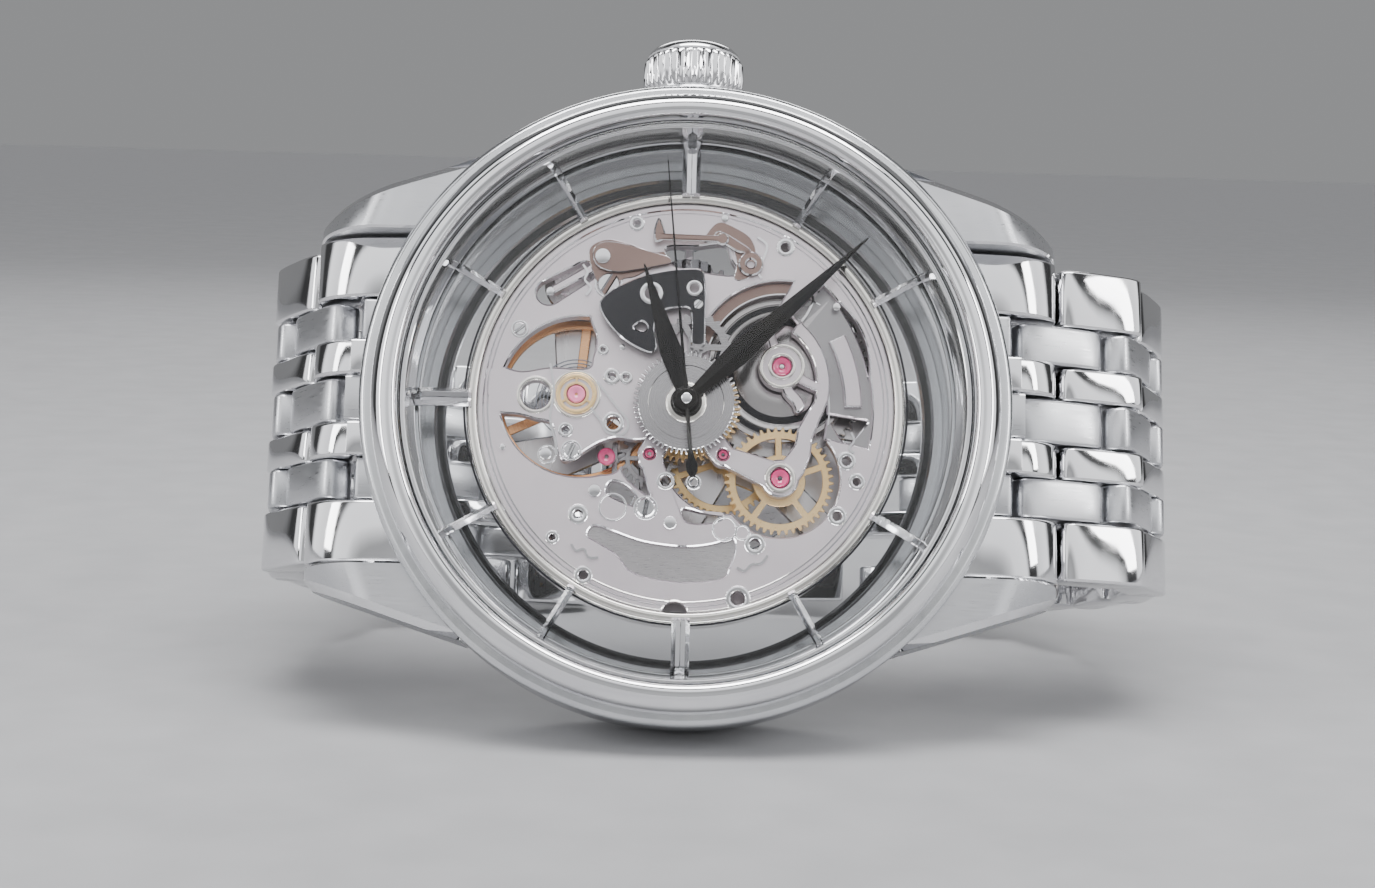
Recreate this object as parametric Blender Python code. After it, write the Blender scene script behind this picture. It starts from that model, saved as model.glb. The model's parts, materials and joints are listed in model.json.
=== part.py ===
"""Automatic skeleton wristwatch on a seven-row link bracelet, closed and standing on its side.

The watch is drawn in its own frame, in millimetres: X runs from 12 to 6 o'clock, Y from the crystal to the
case back, and Z from 9 to 3 o'clock, with the dial's centre at the origin. An empty carries that frame, leans
it back and lifts it, so the finished part stands on the world's Z = 0 with the dial facing -Y.
"""

import math

import bmesh
import bpy
from mathutils import Matrix, Vector
from mathutils.geometry import delaunay_2d_cdt

MM = 0.001
ROUND = 36

# Case, radii and depths along Y.
CASE_R = 20.25
CASE_FRONT = -2.5
CASE_BACK = 4.9
BEZEL_R = 19.5
SEAT_R = 17.75
LEDGE_R = 16.8
CRYSTAL_R = 17.68
CRYSTAL_TOP = -4.6
FLANGE_R = 16.95
BACK_R = 19.2
BACK_FACE = 6.5
LUG_GAP = 21.0

# Movement and dial.
MOVEMENT_R = 13.8
PLATE_R = 13.1
PLATE_BACK = 1.0
BRIDGE_FRONT = 2.95
BRIDGE_BACK = 3.35
GAP = 0.05
STEM_Y = 2.0
LOW_WHEEL = (1.06, 1.2)
LOW_PINION = (1.04, 1.3)
HIGH_WHEEL = (2.74, 2.86)
HIGH_PINION = (2.6, 2.9)
BARREL_TEETH_Y = (2.45, 2.68)
WINDING_Y = (3.4, 3.62)
HOUR_WHEEL_Y = (-0.9, -0.62)
MINUTE_WHEEL_Y = (-0.55, -0.3)

# Centres of the movement's axes, as (x, z).
CENTRE = (0.0, 0.0)
BARREL = (6.0, 2.65)
GREAT = (6.0, -4.5)
THIRD = (2.4, -3.1)
ESCAPE = (-2.2, -3.15)
PALLET = (-4.9, -3.3)
BALANCE = (-6.9, 0.5)
MOTION = (0.6, 3.63)
CROWN_WHEEL = (1.4, 7.3)
LEVER_PIVOT = (-5.5, 9.4)
YOKE_PIVOT = (3.9, 9.2)

# Teeth. The hour wheel turns once for twelve turns of the cannon pinion, and the great wheel once for sixty of
# the seconds wheel. Tips pass the pitch circle by REACH.
CANNON_TEETH, MINUTE_TEETH, MINUTE_LEAVES, HOUR_TEETH = 16, 24, 8, 64
SECONDS_LEAVES, THIRD_TEETH, THIRD_LEAVES, GREAT_TEETH = 6, 48, 6, 45
GREAT_LEAVES, BARREL_TEETH = 15, 60
SECONDS_TEETH, ESCAPE_LEAVES, ESCAPE_TEETH = 54, 6, 20
RATCHET_TEETH, CROWN_WHEEL_TEETH, WINDING_LEAVES = 32, 20, 11
WINDING_PINION_R = 1.4
REACH = 0.03
TOOTH = 0.25

# Angles of the hands, clockwise from 12 o'clock.
HOUR_ANGLE = 72.0
MINUTE_ANGLE = 136.3
SECONDS_ANGLE = 84.3

# Bracelet: row widths at the case, half of the pitch to each side of a pin, and the run of each side.
ROWS = (4.0, 2.7, 2.3, 3.0, 2.3, 2.7, 4.0)
PITCH = 6.3
LINK_HALF = 1.3
PIN_START = (22.4, 3.1)
RIGHT_RUN = (20, 62, 88, 104, 122, 142, 160)
LEFT_RUN = (55, 84, 98, 112, 128, 146, 162)
TAPER = 0.42
CLASP_RISE = 1.1
CROWN_REACH = 24.2

FLIP_Z = Matrix.Diagonal((1, 1, -1, 1))

POLISHED = ("polished_steel", (0.86, 0.86, 0.87), 0.06, 1.0)
BRUSHED = ("brushed_steel", (0.66, 0.67, 0.68), 0.32, 1.0)
RHODIUM = ("frosted_rhodium", (0.74, 0.71, 0.72), 0.38, 1.0)
GREY_STEEL = ("grey_steel", (0.42, 0.40, 0.41), 0.25, 1.0)
BLACK = ("black_polish", (0.02, 0.02, 0.022), 0.12, 1.0)
GILT = ("gilt_brass", (0.83, 0.57, 0.26), 0.25, 1.0)
COPPER = ("copper_gilt", (0.80, 0.42, 0.20), 0.25, 1.0)
BLUE_STEEL = ("spring_steel", (0.25, 0.27, 0.33), 0.25, 1.0)
RUBY = ("ruby", (0.62, 0.05, 0.17), 0.06, 0.0)
CLEAR = ("clear_glass", (0.97, 0.98, 0.98), 0.02, 0.0)


def clear_scene():
    for obj in list(bpy.data.objects):
        bpy.data.objects.remove(obj, do_unlink=True)


def material(finish):
    name, colour, roughness, metallic = finish
    found = bpy.data.materials.get(name)
    if found:
        return found
    made = bpy.data.materials.new(name)
    made.use_nodes = True
    shader = made.node_tree.nodes["Principled BSDF"]
    shader.inputs["Base Color"].default_value = (*colour, 1.0)
    shader.inputs["Roughness"].default_value = roughness
    shader.inputs["Metallic"].default_value = metallic
    if name == CLEAR[0]:
        shader.inputs["Transmission Weight"].default_value = 1.0
    return made


# Outlines: lists of (x, z) points in millimetres.


def circle(centre, radius, count=ROUND):
    turns = [2 * math.pi * i / count for i in range(count)]
    return [(centre[0] + radius * math.cos(t), centre[1] + radius * math.sin(t)) for t in turns]


def arc(centre, radius, start, end, count):
    """Points on a circle from one angle to another, in degrees from +X towards +Z."""
    angles = [math.radians(start + (end - start) * i / count) for i in range(count + 1)]
    return [(centre[0] + radius * math.cos(t), centre[1] + radius * math.sin(t)) for t in angles]


def band(centre, inner, outer, start, end, count):
    """Outline of a piece of a ring."""
    return arc(centre, outer, start, end, count) + arc(centre, inner, end, start, count)


def bar(start, end, width, end_width=None, count=5):
    """Outline of a straight arm with round ends."""
    end_width = end_width or width
    tilt = math.degrees(math.atan2(end[1] - start[1], end[0] - start[0]))
    near = arc(start, width / 2, tilt + 90, tilt + 270, count)
    return near + arc(end, end_width / 2, tilt - 90, tilt + 90, count)


def gear(centre, root, tip, teeth, phase=0.0):
    """Outline with pointed teeth, one at the phase angle in degrees."""
    points = []
    for i in range(2 * teeth):
        turn = math.radians(phase) + math.pi * i / teeth
        radius = root if i % 2 else tip
        points.append((centre[0] + radius * math.cos(turn), centre[1] + radius * math.sin(turn)))
    return points


def meshing(own, mate, teeth, mate_teeth, gap=False):
    """Toothed outline for a wheel and its mate's centre; a tooth, or a gap, points at the mate."""
    pitch = math.dist(own, mate) * teeth / (teeth + mate_teeth)
    toward = math.degrees(math.atan2(mate[1] - own[1], mate[0] - own[0]))
    phase = toward + (180 / teeth if gap else 0)
    return gear(own, pitch - min(TOOTH, 0.35 * pitch), pitch + REACH, teeth, phase)


def spokes(centre, inner, outer, count, width, phase=0.0):
    """The windows between a wheel's spokes, each a piece of a ring."""
    windows = []
    for i in range(count):
        start = phase + 360 * i / count
        margin = math.degrees(width / 2 / outer)
        near = math.degrees(width / 2 / inner)
        far_side = arc(centre, outer, start + margin, start + 360 / count - margin, 4)
        windows.append(far_side + arc(centre, inner, start + 360 / count - near, start + near, 1))
    return windows


def signed_area(outline):
    pairs = zip(outline, outline[1:] + outline[:1])
    return sum(a[0] * b[1] - b[0] * a[1] for a, b in pairs) / 2


# Solids: each function gives a bmesh in millimetres.


def layered(layers):
    """A solid whose outline changes in steps along Y. A layer is (front, back, outlines, holes in them)."""
    points = []
    faces = []
    owners = []
    for index, (_, _, solids, holes) in enumerate(layers):
        for solid, outlines in ((True, solids), (False, holes)):
            for outline in outlines:
                turned_left = outline if signed_area(outline) > 0 else outline[::-1]
                faces.append(list(range(len(points), len(points) + len(outline))))
                points += [Vector(point) for point in turned_left]
                owners.append((index, solid))
    verts, _, cells, _, _, sources = delaunay_2d_cdt(points, [], faces, 1, 1e-4)
    levels = sorted({level for layer in layers for level in layer[:2]})

    def filled(source, low, high):
        for index, layer in enumerate(layers):
            covers = layer[0] <= low and high <= layer[1]
            inside = {owners[face] for face in source}
            if covers and (index, True) in inside and (index, False) not in inside:
                return True
        return False

    spans = list(zip(levels, levels[1:]))
    columns = [[filled(source, *span) for span in spans] for source in sources]
    bm = bmesh.new()
    made = {}

    def vertex(index, level):
        if (index, level) not in made:
            x, z = verts[index]
            made[index, level] = bm.verts.new((x, levels[level], z))
        return made[index, level]

    sides = {}
    for cell, column in zip(cells, columns):
        padded = [False, *column, False]
        for level in range(len(levels)):
            if padded[level] != padded[level + 1]:
                order = cell if padded[level + 1] else cell[::-1]
                bm.faces.new([vertex(index, level) for index in order])
        for a, b in zip(cell, cell[1:] + cell[:1]):
            sides.setdefault((min(a, b), max(a, b)), []).append((a, b, column))
    for users in sides.values():
        for level in range(len(spans)):
            solid = [(a, b) for a, b, column in users if column[level]]
            if len(solid) == 1:
                a, b = solid[0]
                corners = ((b, level), (a, level), (a, level + 1), (b, level + 1))
                bm.faces.new([vertex(*corner) for corner in corners])
    bmesh.ops.dissolve_limit(
        bm, angle_limit=math.radians(0.5), verts=bm.verts, edges=bm.edges, delimit={"NORMAL"}
    )
    bmesh.ops.triangulate(bm, faces=bm.faces)
    return bm


def turned(profile, count=ROUND):
    """A solid turned about Y from (radius, y) points, closed on itself or on the axis at both ends."""
    bm = bmesh.new()
    rings = []
    for radius, y in profile:
        spots = [(0.0, 0.0)] if radius == 0 else circle(CENTRE, radius, count)
        rings.append([bm.verts.new((x, y, z)) for x, z in spots])
    pairs = list(zip(rings, rings[1:]))
    if profile[0][0] > 0:
        pairs.append((rings[-1], rings[0]))
    for near, far in pairs:
        for i in range(count):
            j = (i + 1) % count
            corners = [near[i % len(near)], near[j % len(near)], far[j % len(far)], far[i % len(far)]]
            bm.faces.new(list(dict.fromkeys(corners)))
    bmesh.ops.recalc_face_normals(bm, faces=bm.faces)
    return bm


def strip(centreline, half, front, back):
    """A thin flat strip on edge, following an open line of (x, z) points."""
    left = []
    right = []
    for i, point in enumerate(centreline):
        before = Vector(centreline[max(i - 1, 0)])
        after = Vector(centreline[min(i + 1, len(centreline) - 1)])
        along = (after - before).normalized()
        left.append((point[0] - along.y * half, point[1] + along.x * half))
        right.append((point[0] + along.y * half, point[1] - along.x * half))
    return layered([(front, back, [left + right[::-1]], [])])


def spiral(centre, inner, outer, turns, per_turn, phase=0.0):
    count = turns * per_turn
    points = []
    for i in range(count + 1):
        radius = inner + (outer - inner) * i / count
        turn = math.radians(phase) + 2 * math.pi * i / per_turn
        points.append((centre[0] + radius * math.cos(turn), centre[1] + radius * math.sin(turn)))
    return points


def prism(outline, low, high, outer=None):
    """An (x, y) outline drawn out along Z; outer gives the far face's height at each x."""
    bm = bmesh.new()
    near = [bm.verts.new((x, y, low)) for x, y in outline]
    far = [bm.verts.new((x, y, outer(x) if outer else high)) for x, y in outline]
    bm.faces.new(near)
    bm.faces.new(far[::-1])
    for i in range(len(outline)):
        j = (i + 1) % len(outline)
        bm.faces.new((near[i], far[i], far[j], near[j]))
    bmesh.ops.recalc_face_normals(bm, faces=bm.faces)
    return bm


def moved(bm, matrix):
    bmesh.ops.transform(bm, matrix=matrix, verts=bm.verts)
    if matrix.determinant() < 0:
        bmesh.ops.reverse_faces(bm, faces=bm.faces)
    return bm


def shift(x=0.0, y=0.0, z=0.0):
    return Matrix.Translation((x, y, z))


def along_z(bm, centre=(0.0, 0.0)):
    """Turns a shape made about Y so that its Y runs along Z, about the line at (x, y) = centre."""
    return moved(bm, shift(centre[0], centre[1]) @ Matrix.Rotation(math.radians(90), 4, "X"))


def to_object(name, bm, smooth=30):
    mesh = bpy.data.meshes.new(name)
    bmesh.ops.triangulate(bm, faces=[face for face in bm.faces if len(face.verts) > 4])
    bm.to_mesh(mesh)
    bm.free()
    mesh.shade_smooth()
    mesh.set_sharp_from_angle(angle=math.radians(smooth))
    obj = bpy.data.objects.new(name, mesh)
    bpy.context.scene.collection.objects.link(obj)
    return obj


def combined(operation, first, others):
    """The first solid with the others joined to it or cut from it, as a new bmesh."""
    base = to_object("combined_base", first)
    tools = [to_object(f"combined_tool_{i}", other) for i, other in enumerate(others)]
    for tool in tools:
        modifier = base.modifiers.new(tool.name, "BOOLEAN")
        modifier.operation = operation
        modifier.solver = "EXACT"
        modifier.object = tool
    graph = bpy.context.evaluated_depsgraph_get()
    bm = bmesh.new()
    bm.from_object(base, graph)
    for obj in (base, *tools):
        bpy.data.objects.remove(obj, do_unlink=True)
    bmesh.ops.remove_doubles(bm, verts=bm.verts, dist=0.0005)
    bmesh.ops.dissolve_degenerate(bm, dist=0.0005, edges=bm.edges)
    return bm


def part(name, bm, finish, frame, origin=(0.0, 0.0, 0.0), smooth=30):
    """Names a solid, puts its origin at a point of the watch frame and hangs it on that frame."""
    moved(bm, shift(-origin[0], -origin[1], -origin[2]))
    bmesh.ops.scale(bm, vec=(MM, MM, MM), verts=bm.verts)
    obj = to_object(name, bm, smooth)
    obj.data.materials.append(material(finish))
    obj.parent = frame
    obj.location = Vector(origin) * MM
    return obj


# Case, glass and dial.


def make_case_middle(frame):
    ring = turned(
        [
            (SEAT_R, CASE_FRONT), (CASE_R - 0.35, CASE_FRONT), (CASE_R, CASE_FRONT + 0.35),
            (CASE_R, 3.4), (CASE_R - 0.7, CASE_BACK), (LEDGE_R, CASE_BACK), (LEDGE_R, 0.6), (SEAT_R, 0.6),
        ]
    )
    side = [
        (15.6, -1.7), (19.4, -1.7), (21.4, -0.6), (23.0, 1.1), (23.9, 3.2),
        (23.9, 5.0), (23.2, 5.9), (21.6, 5.6), (19.6, 4.4), (15.6, 4.4),
    ]
    root = 13.0
    lugs = []
    for mirror_x in (1, -1):
        for mirror_z in (1, -1):
            lug = prism(side, LUG_GAP / 2 + GAP, 0, lambda x: 15.25 - 0.30 * (x - 13.7))
            for vert in lug.verts:
                if vert.co.x < 15.7 and vert.co.z > LUG_GAP / 2 + 1:
                    vert.co = (root, vert.co.y, 15.25 - 0.30 * (root - 13.7))
            lugs.append(moved(lug, Matrix.Diagonal((mirror_x, 1, mirror_z, 1))))
    body = combined("UNION", ring, lugs)
    stem_hole = along_z(turned([(0, -22), (0.95, -22), (0.95, -14), (0, -14)], 8), (0, STEM_Y))
    body = combined("DIFFERENCE", body, [moved(stem_hole, FLIP_Z)])
    part("case_middle", body, BRUSHED, frame)


def make_case_front(frame):
    bezel = [
        (SEAT_R + 0.02, CASE_FRONT - 0.03), (SEAT_R + 0.02, -3.75), (SEAT_R + 0.25, -4.02),
        (SEAT_R + 0.75, -4.1), (BEZEL_R - 0.45, -3.75), (BEZEL_R - 0.05, -3.1), (BEZEL_R, CASE_FRONT - 0.03),
    ]
    part("bezel", turned(bezel), POLISHED, frame)
    dome = [(0, CRYSTAL_TOP), (6.0, -4.53), (12.0, -4.25), (16.6, -3.85), (CRYSTAL_R, -3.6)]
    under = [(CRYSTAL_R, -2.62), (12.0, -2.85), (0, -3.05)]
    part("crystal", turned(dome + under), CLEAR, frame)


def make_case_back(frame):
    ring = [
        (16.1, CASE_BACK + 0.03), (BACK_R, CASE_BACK + 0.03), (BACK_R, 5.7), (BACK_R - 0.8, BACK_FACE),
        (15.6, BACK_FACE), (15.6, 5.95), (16.1, 5.95),
    ]
    part("case_back", turned(ring), POLISHED, frame)
    glass = [(0, 5.0), (16.05, 5.0), (16.05, 5.9), (0, 5.9)]
    part("case_back_glass", turned(glass), CLEAR, frame)


def hour_direction(angle):
    """The way a hand points, as (x, z), at an angle clockwise from 12 o'clock."""
    turn = math.radians(angle)
    return -math.cos(turn), math.sin(turn)


def make_hour_ring(frame):
    """Polished flange ring with eleven batons that reach in to the movement; 6 o'clock has none."""
    outer = circle(CENTRE, SEAT_R - 0.07)
    inner = circle(CENTRE, FLANGE_R)
    batons = []
    for hour in (1, 2, 3, 4, 5, 7, 8, 9, 10, 11, 12):
        x, z = hour_direction(30 * hour)
        half = 0.52 if hour in (3, 9, 12) else 0.26
        near = MOVEMENT_R - 0.35
        far = FLANGE_R + 0.3
        corners = ((near, -half), (far, -half), (far, half), (near, half))
        batons.append([(r * x - s * z, r * z + s * x) for r, s in corners])
    ring = layered([(CASE_FRONT, -0.3, [outer], [inner]), (-0.85, -0.3, batons, [])])
    part("hour_marker_ring", ring, POLISHED, frame)


def make_dial_ring(frame):
    ring = [(MOVEMENT_R + GAP, -0.25), (SEAT_R - GAP, -0.25), (SEAT_R - GAP, 0.55), (MOVEMENT_R + GAP, 0.55)]
    part("clear_dial_ring", turned(ring), CLEAR, frame)
    rim = [
        (PLATE_R + 0.04, -0.22), (MOVEMENT_R - 0.15, -0.25), (MOVEMENT_R, -0.1), (MOVEMENT_R, 3.3),
        (PLATE_R + 0.04, 3.3),
    ]
    rim_ring = turned(rim)
    notch = along_z(turned([(0, -14.5), (0.8, -14.5), (0.8, -12.5), (0, -12.5)], 8), (0, STEM_Y))
    rim_ring = combined("DIFFERENCE", rim_ring, [moved(notch, FLIP_Z)])
    part("movement_rim", rim_ring, POLISHED, frame)


# Hands and motion work.


def make_hand(frame, name, angle, outline, hub, bore, front, back, finish):
    """A hand drawn pointing along +X, then turned about the centre to its time."""
    x, z = hour_direction(angle)
    turn = Matrix.Rotation(-math.atan2(z, x), 4, "Y")
    bm = layered([(front, back, [outline, circle(CENTRE, hub, 16)], [circle(CENTRE, bore, 10)])])
    part(name, moved(bm, turn), finish, frame)


def make_hands(frame):
    hour = [(0.5, 0.42), (0.5, -0.42), (3.4, -0.72), (9.2, -0.06), (9.2, 0.06), (3.4, 0.72)]
    make_hand(frame, "hour_hand", HOUR_ANGLE, hour, 1.0, 0.62, -1.25, -1.05, BLACK)
    minute = [(0.4, 0.36), (0.4, -0.36), (4.3, -0.78), (15.5, -0.06), (15.5, 0.06), (4.3, 0.78)]
    make_hand(frame, "minute_hand", MINUTE_ANGLE, minute, 0.9, 0.42, -1.75, -1.55, BLACK)
    x, z = hour_direction(SECONDS_ANGLE)
    seconds = [(-4.9, 0.16), (-4.9, -0.16), (0, -0.13), (15.4, -0.04), (15.4, 0.04), (0, 0.13)]
    blade = layered([(-2.2, -2.05, [seconds, circle(CENTRE, 0.72, 14)], [])])
    pipe = turned([(0, -2.3), (0.3, -2.3), (0.3, -1.3), (0.2, -1.3), (0.2, 0.9), (0, 0.9)], 8)
    blade = moved(blade, Matrix.Rotation(-math.atan2(z, x), 4, "Y"))
    part("seconds_hand", combined("UNION", blade, [pipe]), BLACK, frame)


def make_motion_work(frame):
    hour_bore = circle(CENTRE, 0.5, 10)
    hour_wheel = layered(
        [
            (*HOUR_WHEEL_Y, [meshing(CENTRE, MOTION, HOUR_TEETH, MINUTE_LEAVES)], [hour_bore]),
            (-1.25, HOUR_WHEEL_Y[0], [circle(CENTRE, 0.6, 10)], [hour_bore]),
        ]
    )
    part("hour_wheel", hour_wheel, GREY_STEEL, frame)
    cannon_bore = circle(CENTRE, 0.3, 10)
    cannon = layered(
        [
            (MINUTE_WHEEL_Y[0], -0.1, [meshing(CENTRE, MOTION, CANNON_TEETH, MINUTE_TEETH, True)], [cannon_bore]),
            (-1.75, MINUTE_WHEEL_Y[0], [circle(CENTRE, 0.4, 10)], [circle(CENTRE, 0.34, 10)]),
        ]
    )
    part("cannon_pinion", cannon, GREY_STEEL, frame)
    rim = meshing(MOTION, CENTRE, MINUTE_TEETH, CANNON_TEETH)
    pinion = meshing(MOTION, CENTRE, MINUTE_LEAVES, HOUR_TEETH, True)
    minute_wheel = layered(
        [
            (*MINUTE_WHEEL_Y, [rim], spokes(MOTION, 0.75, 1.55, 3, 0.4)),
            (HOUR_WHEEL_Y[0] + GAP, MINUTE_WHEEL_Y[0], [pinion], []),
            (MINUTE_WHEEL_Y[1], 0.6, [circle(MOTION, 0.22, 8)], []),
        ]
    )
    part("minute_wheel", minute_wheel, GREY_STEEL, frame, (MOTION[0], 0, MOTION[1]))


# Plate, bridges and jewels.


def s_arm():
    """The long curved arm that runs round the barrel and down to the great wheel's jewel."""
    outside = arc((4.1, 1.3), 5.3, 38, -16, 5) + [(8.3, -2.4), (6.8, -4.5)]
    inside = [(5.6, -3.9), (7.3, -2.0)] + arc((4.1, 1.3), 4.4, -16, 38, 5)
    return outside + inside


def make_main_plate(frame):
    windows = [
        circle((-6.6, 0.5), 4.95, 22),
        circle(BARREL, 5.55, 22),
        circle(GREAT, 3.75, 18),
        circle(THIRD, 3.75, 18),
        circle((-4.0, -4.2), 1.7, 10),
        bar((-9.2, 7.6), (-6.9, 9.0), 1.1, count=2),
        [(9.0, -0.4), (11.4, -0.4), (10.1, -2.2)],
        [(-1.6, 8.8), (1.6, 8.8), (1.6, 9.8), (-1.6, 9.8)],
    ]
    jewel_holes = [circle(centre, 0.62, 8) for centre in (BALANCE, BARREL, GREAT)]
    small_holes = [circle(centre, 0.3, 6) for centre in (CENTRE, THIRD, ESCAPE, MOTION)]
    bores = [*jewel_holes, *small_holes]
    arms = [
        circle(CENTRE, 2.6, 14),
        bar(CENTRE, BALANCE, 2.6, 1.5, 1),
        circle(BALANCE, 1.35, 12),
        bar(BALANCE, (-11.9, 0.3), 1.5, 2.4, 1),
        [(-7.0, -0.6), (-3.4, 1.3), (-2.0, -1.4), (-2.6, -2.9), (-4.6, -2.2), (-8.8, -3.7), (-9.6, -3.2)],
        bar(CENTRE, ESCAPE, 1.8, 1.7, 2),
        bar(ESCAPE, (-0.8, -7.5), 1.5, 1.7, 2),
        bar(CENTRE, THIRD, 1.6, 1.5, 2),
        bar(THIRD, GREAT, 1.5, 1.7, 2),
        circle(GREAT, 1.15, 10),
        s_arm(),
        circle(BARREL, 1.4, 12),
        bar((5.3, 3.6), (7.6, 8.4), 0.9, 1.5, 1),
        bar((6.9, 1.7), (8.9, 0.6), 0.9, count=1),
        bar(CENTRE, MOTION, 2.2, 1.7, 2),
        bar(MOTION, (-2.5, 6.4), 1.7, 2.4, 1),
    ]
    disc = [circle(CENTRE, PLATE_R)]
    recess = band(CENTRE, 7.7, 11.7, 241, 291, 3)
    recess_back = 0.35
    plate = layered(
        [
            (0.0, recess_back, disc, [*windows, *bores, recess]),
            (recess_back, PLATE_BACK, disc, [*windows, *bores]),
            (0.0, PLATE_BACK, arms, bores),
        ]
    )
    part("main_plate", plate, RHODIUM, frame)


def make_bridges(frame):
    back = (BRIDGE_FRONT, BRIDGE_BACK)
    pillars = (PLATE_BACK + 0.03, BRIDGE_FRONT)
    barrel_bridge = layered(
        [
            (
                *back,
                [band(CENTRE, 3.4, 13.0, -8, 62, 5), circle(BARREL, 2.2, 12), bar((3.8, 1.0), CROWN_WHEEL, 3.0, 2.4, 3)],
                [circle(BARREL, 0.58, 8), circle(CROWN_WHEEL, 0.42, 8), circle((9.6, 5.4), 1.3, 8)],
            ),
            (*pillars, [circle((12.1, -0.6), 0.6, 8), circle((7.4, 9.6), 0.6, 8)], []),
        ]
    )
    part("barrel_bridge", barrel_bridge, RHODIUM, frame)
    train_bridge = layered(
        [
            (
                *back,
                [
                    bar((9.2, -7.6), GREAT, 2.1, 2.2, 3), bar(GREAT, THIRD, 2.0, count=3),
                    bar(THIRD, CENTRE, 1.8, 1.5, 3), bar(THIRD, (-1.6, -9.8), 2.0, 2.4, 3),
                    bar((-1.6, -9.8), ESCAPE, 2.0, 1.4, 3),
                ],
                [circle(centre, 0.3, 6) for centre in (GREAT, THIRD, CENTRE, ESCAPE)],
            ),
            (*pillars, [circle((9.2, -7.6), 0.6, 8), circle((-1.6, -9.8), 0.8, 8)], []),
        ]
    )
    part("train_bridge", train_bridge, RHODIUM, frame)
    foot = (-7.4, 8.3)
    cock = layered(
        [
            (*back, [bar(foot, BALANCE, 2.8, 2.6, 4), circle(foot, 1.9, 14)], [circle(BALANCE, 0.4, 8)]),
            (*pillars, [circle(foot, 1.3, 12)], []),
        ]
    )
    part("balance_cock", cock, RHODIUM, frame)


def make_jewels(frame):
    for name, centre in (("balance_jewel", BALANCE), ("barrel_jewel", BARREL), ("great_wheel_jewel", GREAT)):
        ring = turned([(0.22, 0.05), (0.52, 0.05), (0.52, 0.45), (0.22, 0.45)], 10)
        part(name, moved(ring, shift(centre[0], 0, centre[1])), RUBY, frame)


# Going train, escapement and balance.


def make_barrel(frame):
    wall = circle(BARREL, 4.7, 22)
    inside = circle(BARREL, 4.4, 22)
    teeth = meshing(BARREL, GREAT, BARREL_TEETH, GREAT_LEAVES)
    drum = layered(
        [
            (1.3, 1.45, [wall], [circle(BARREL, 1.25, 10)]),
            (1.45, BARREL_TEETH_Y[0], [wall], [inside]),
            (*BARREL_TEETH_Y, [teeth], [inside]),
        ]
    )
    origin = (BARREL[0], 0, BARREL[1])
    part("barrel_drum", drum, GREY_STEEL, frame, origin)
    mainspring = strip(spiral(BARREL, 1.6, 4.15, 3, 12), 0.08, 1.55, 2.4)
    part("mainspring", mainspring, BLUE_STEEL, frame, origin)
    arbor = [(0, 0.1), (0.16, 0.1), (0.16, 1.1), (1.1, 1.1), (1.1, 2.85), (0.5, 2.85), (0.5, 3.42), (0, 3.42)]
    teeth = meshing(BARREL, CROWN_WHEEL, RATCHET_TEETH, CROWN_WHEEL_TEETH)
    ratchet = layered([(*WINDING_Y, [teeth], [])])
    arbor_solid = moved(turned(arbor, 8), shift(BARREL[0], 0, BARREL[1]))
    part("ratchet_wheel", combined("UNION", ratchet, [arbor_solid]), GREY_STEEL, frame, origin)


def make_wheel(frame, name, centre, rim, pinion, arms, wheel_span, pinion_span, staff_span):
    """A train wheel: toothed rim, windows between its arms, pinion and staff on one axis."""
    rim_root = min(math.dist(centre, point) for point in rim)
    pinion_tip = max(math.dist(centre, point) for point in pinion)
    windows = spokes(centre, max(0.75, pinion_tip + 0.2), rim_root - 0.5, arms, 0.42, 20)
    solid = layered(
        [(*wheel_span, [rim], windows), (*pinion_span, [pinion], []), (*staff_span, [circle(centre, 0.15, 6)], [])]
    )
    part(name, solid, GILT, frame, (centre[0], 0, centre[1]))


def make_train(frame):
    rim = meshing(GREAT, THIRD, GREAT_TEETH, THIRD_LEAVES)
    pinion = meshing(GREAT, BARREL, GREAT_LEAVES, BARREL_TEETH, True)
    make_wheel(frame, "great_wheel", GREAT, rim, pinion, 5, LOW_WHEEL, (2.3, 2.72), (0.12, 3.25))
    rim = meshing(THIRD, CENTRE, THIRD_TEETH, SECONDS_LEAVES)
    pinion = meshing(THIRD, GREAT, THIRD_LEAVES, GREAT_TEETH, True)
    make_wheel(frame, "third_wheel", THIRD, rim, pinion, 4, HIGH_WHEEL, LOW_PINION, (0.12, 3.25))
    rim = meshing(CENTRE, ESCAPE, SECONDS_TEETH, ESCAPE_LEAVES)
    pinion = meshing(CENTRE, THIRD, SECONDS_LEAVES, THIRD_TEETH, True)
    make_wheel(frame, "seconds_wheel", CENTRE, rim, pinion, 4, LOW_WHEEL, HIGH_PINION, (LOW_WHEEL[0], 3.25))
    pinion = meshing(ESCAPE, CENTRE, ESCAPE_LEAVES, SECONDS_TEETH, True)
    escape = layered(
        [
            (1.9, 2.05, [gear(ESCAPE, 1.55, 1.95, ESCAPE_TEETH)], spokes(ESCAPE, 0.6, 1.25, 4, 0.3)),
            (*LOW_PINION, [pinion], []),
            (0.12, 3.2, [circle(ESCAPE, 0.13, 6)], []),
        ]
    )
    part("escape_wheel", escape, GREY_STEEL, frame, (ESCAPE[0], 0, ESCAPE[1]))


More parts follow.
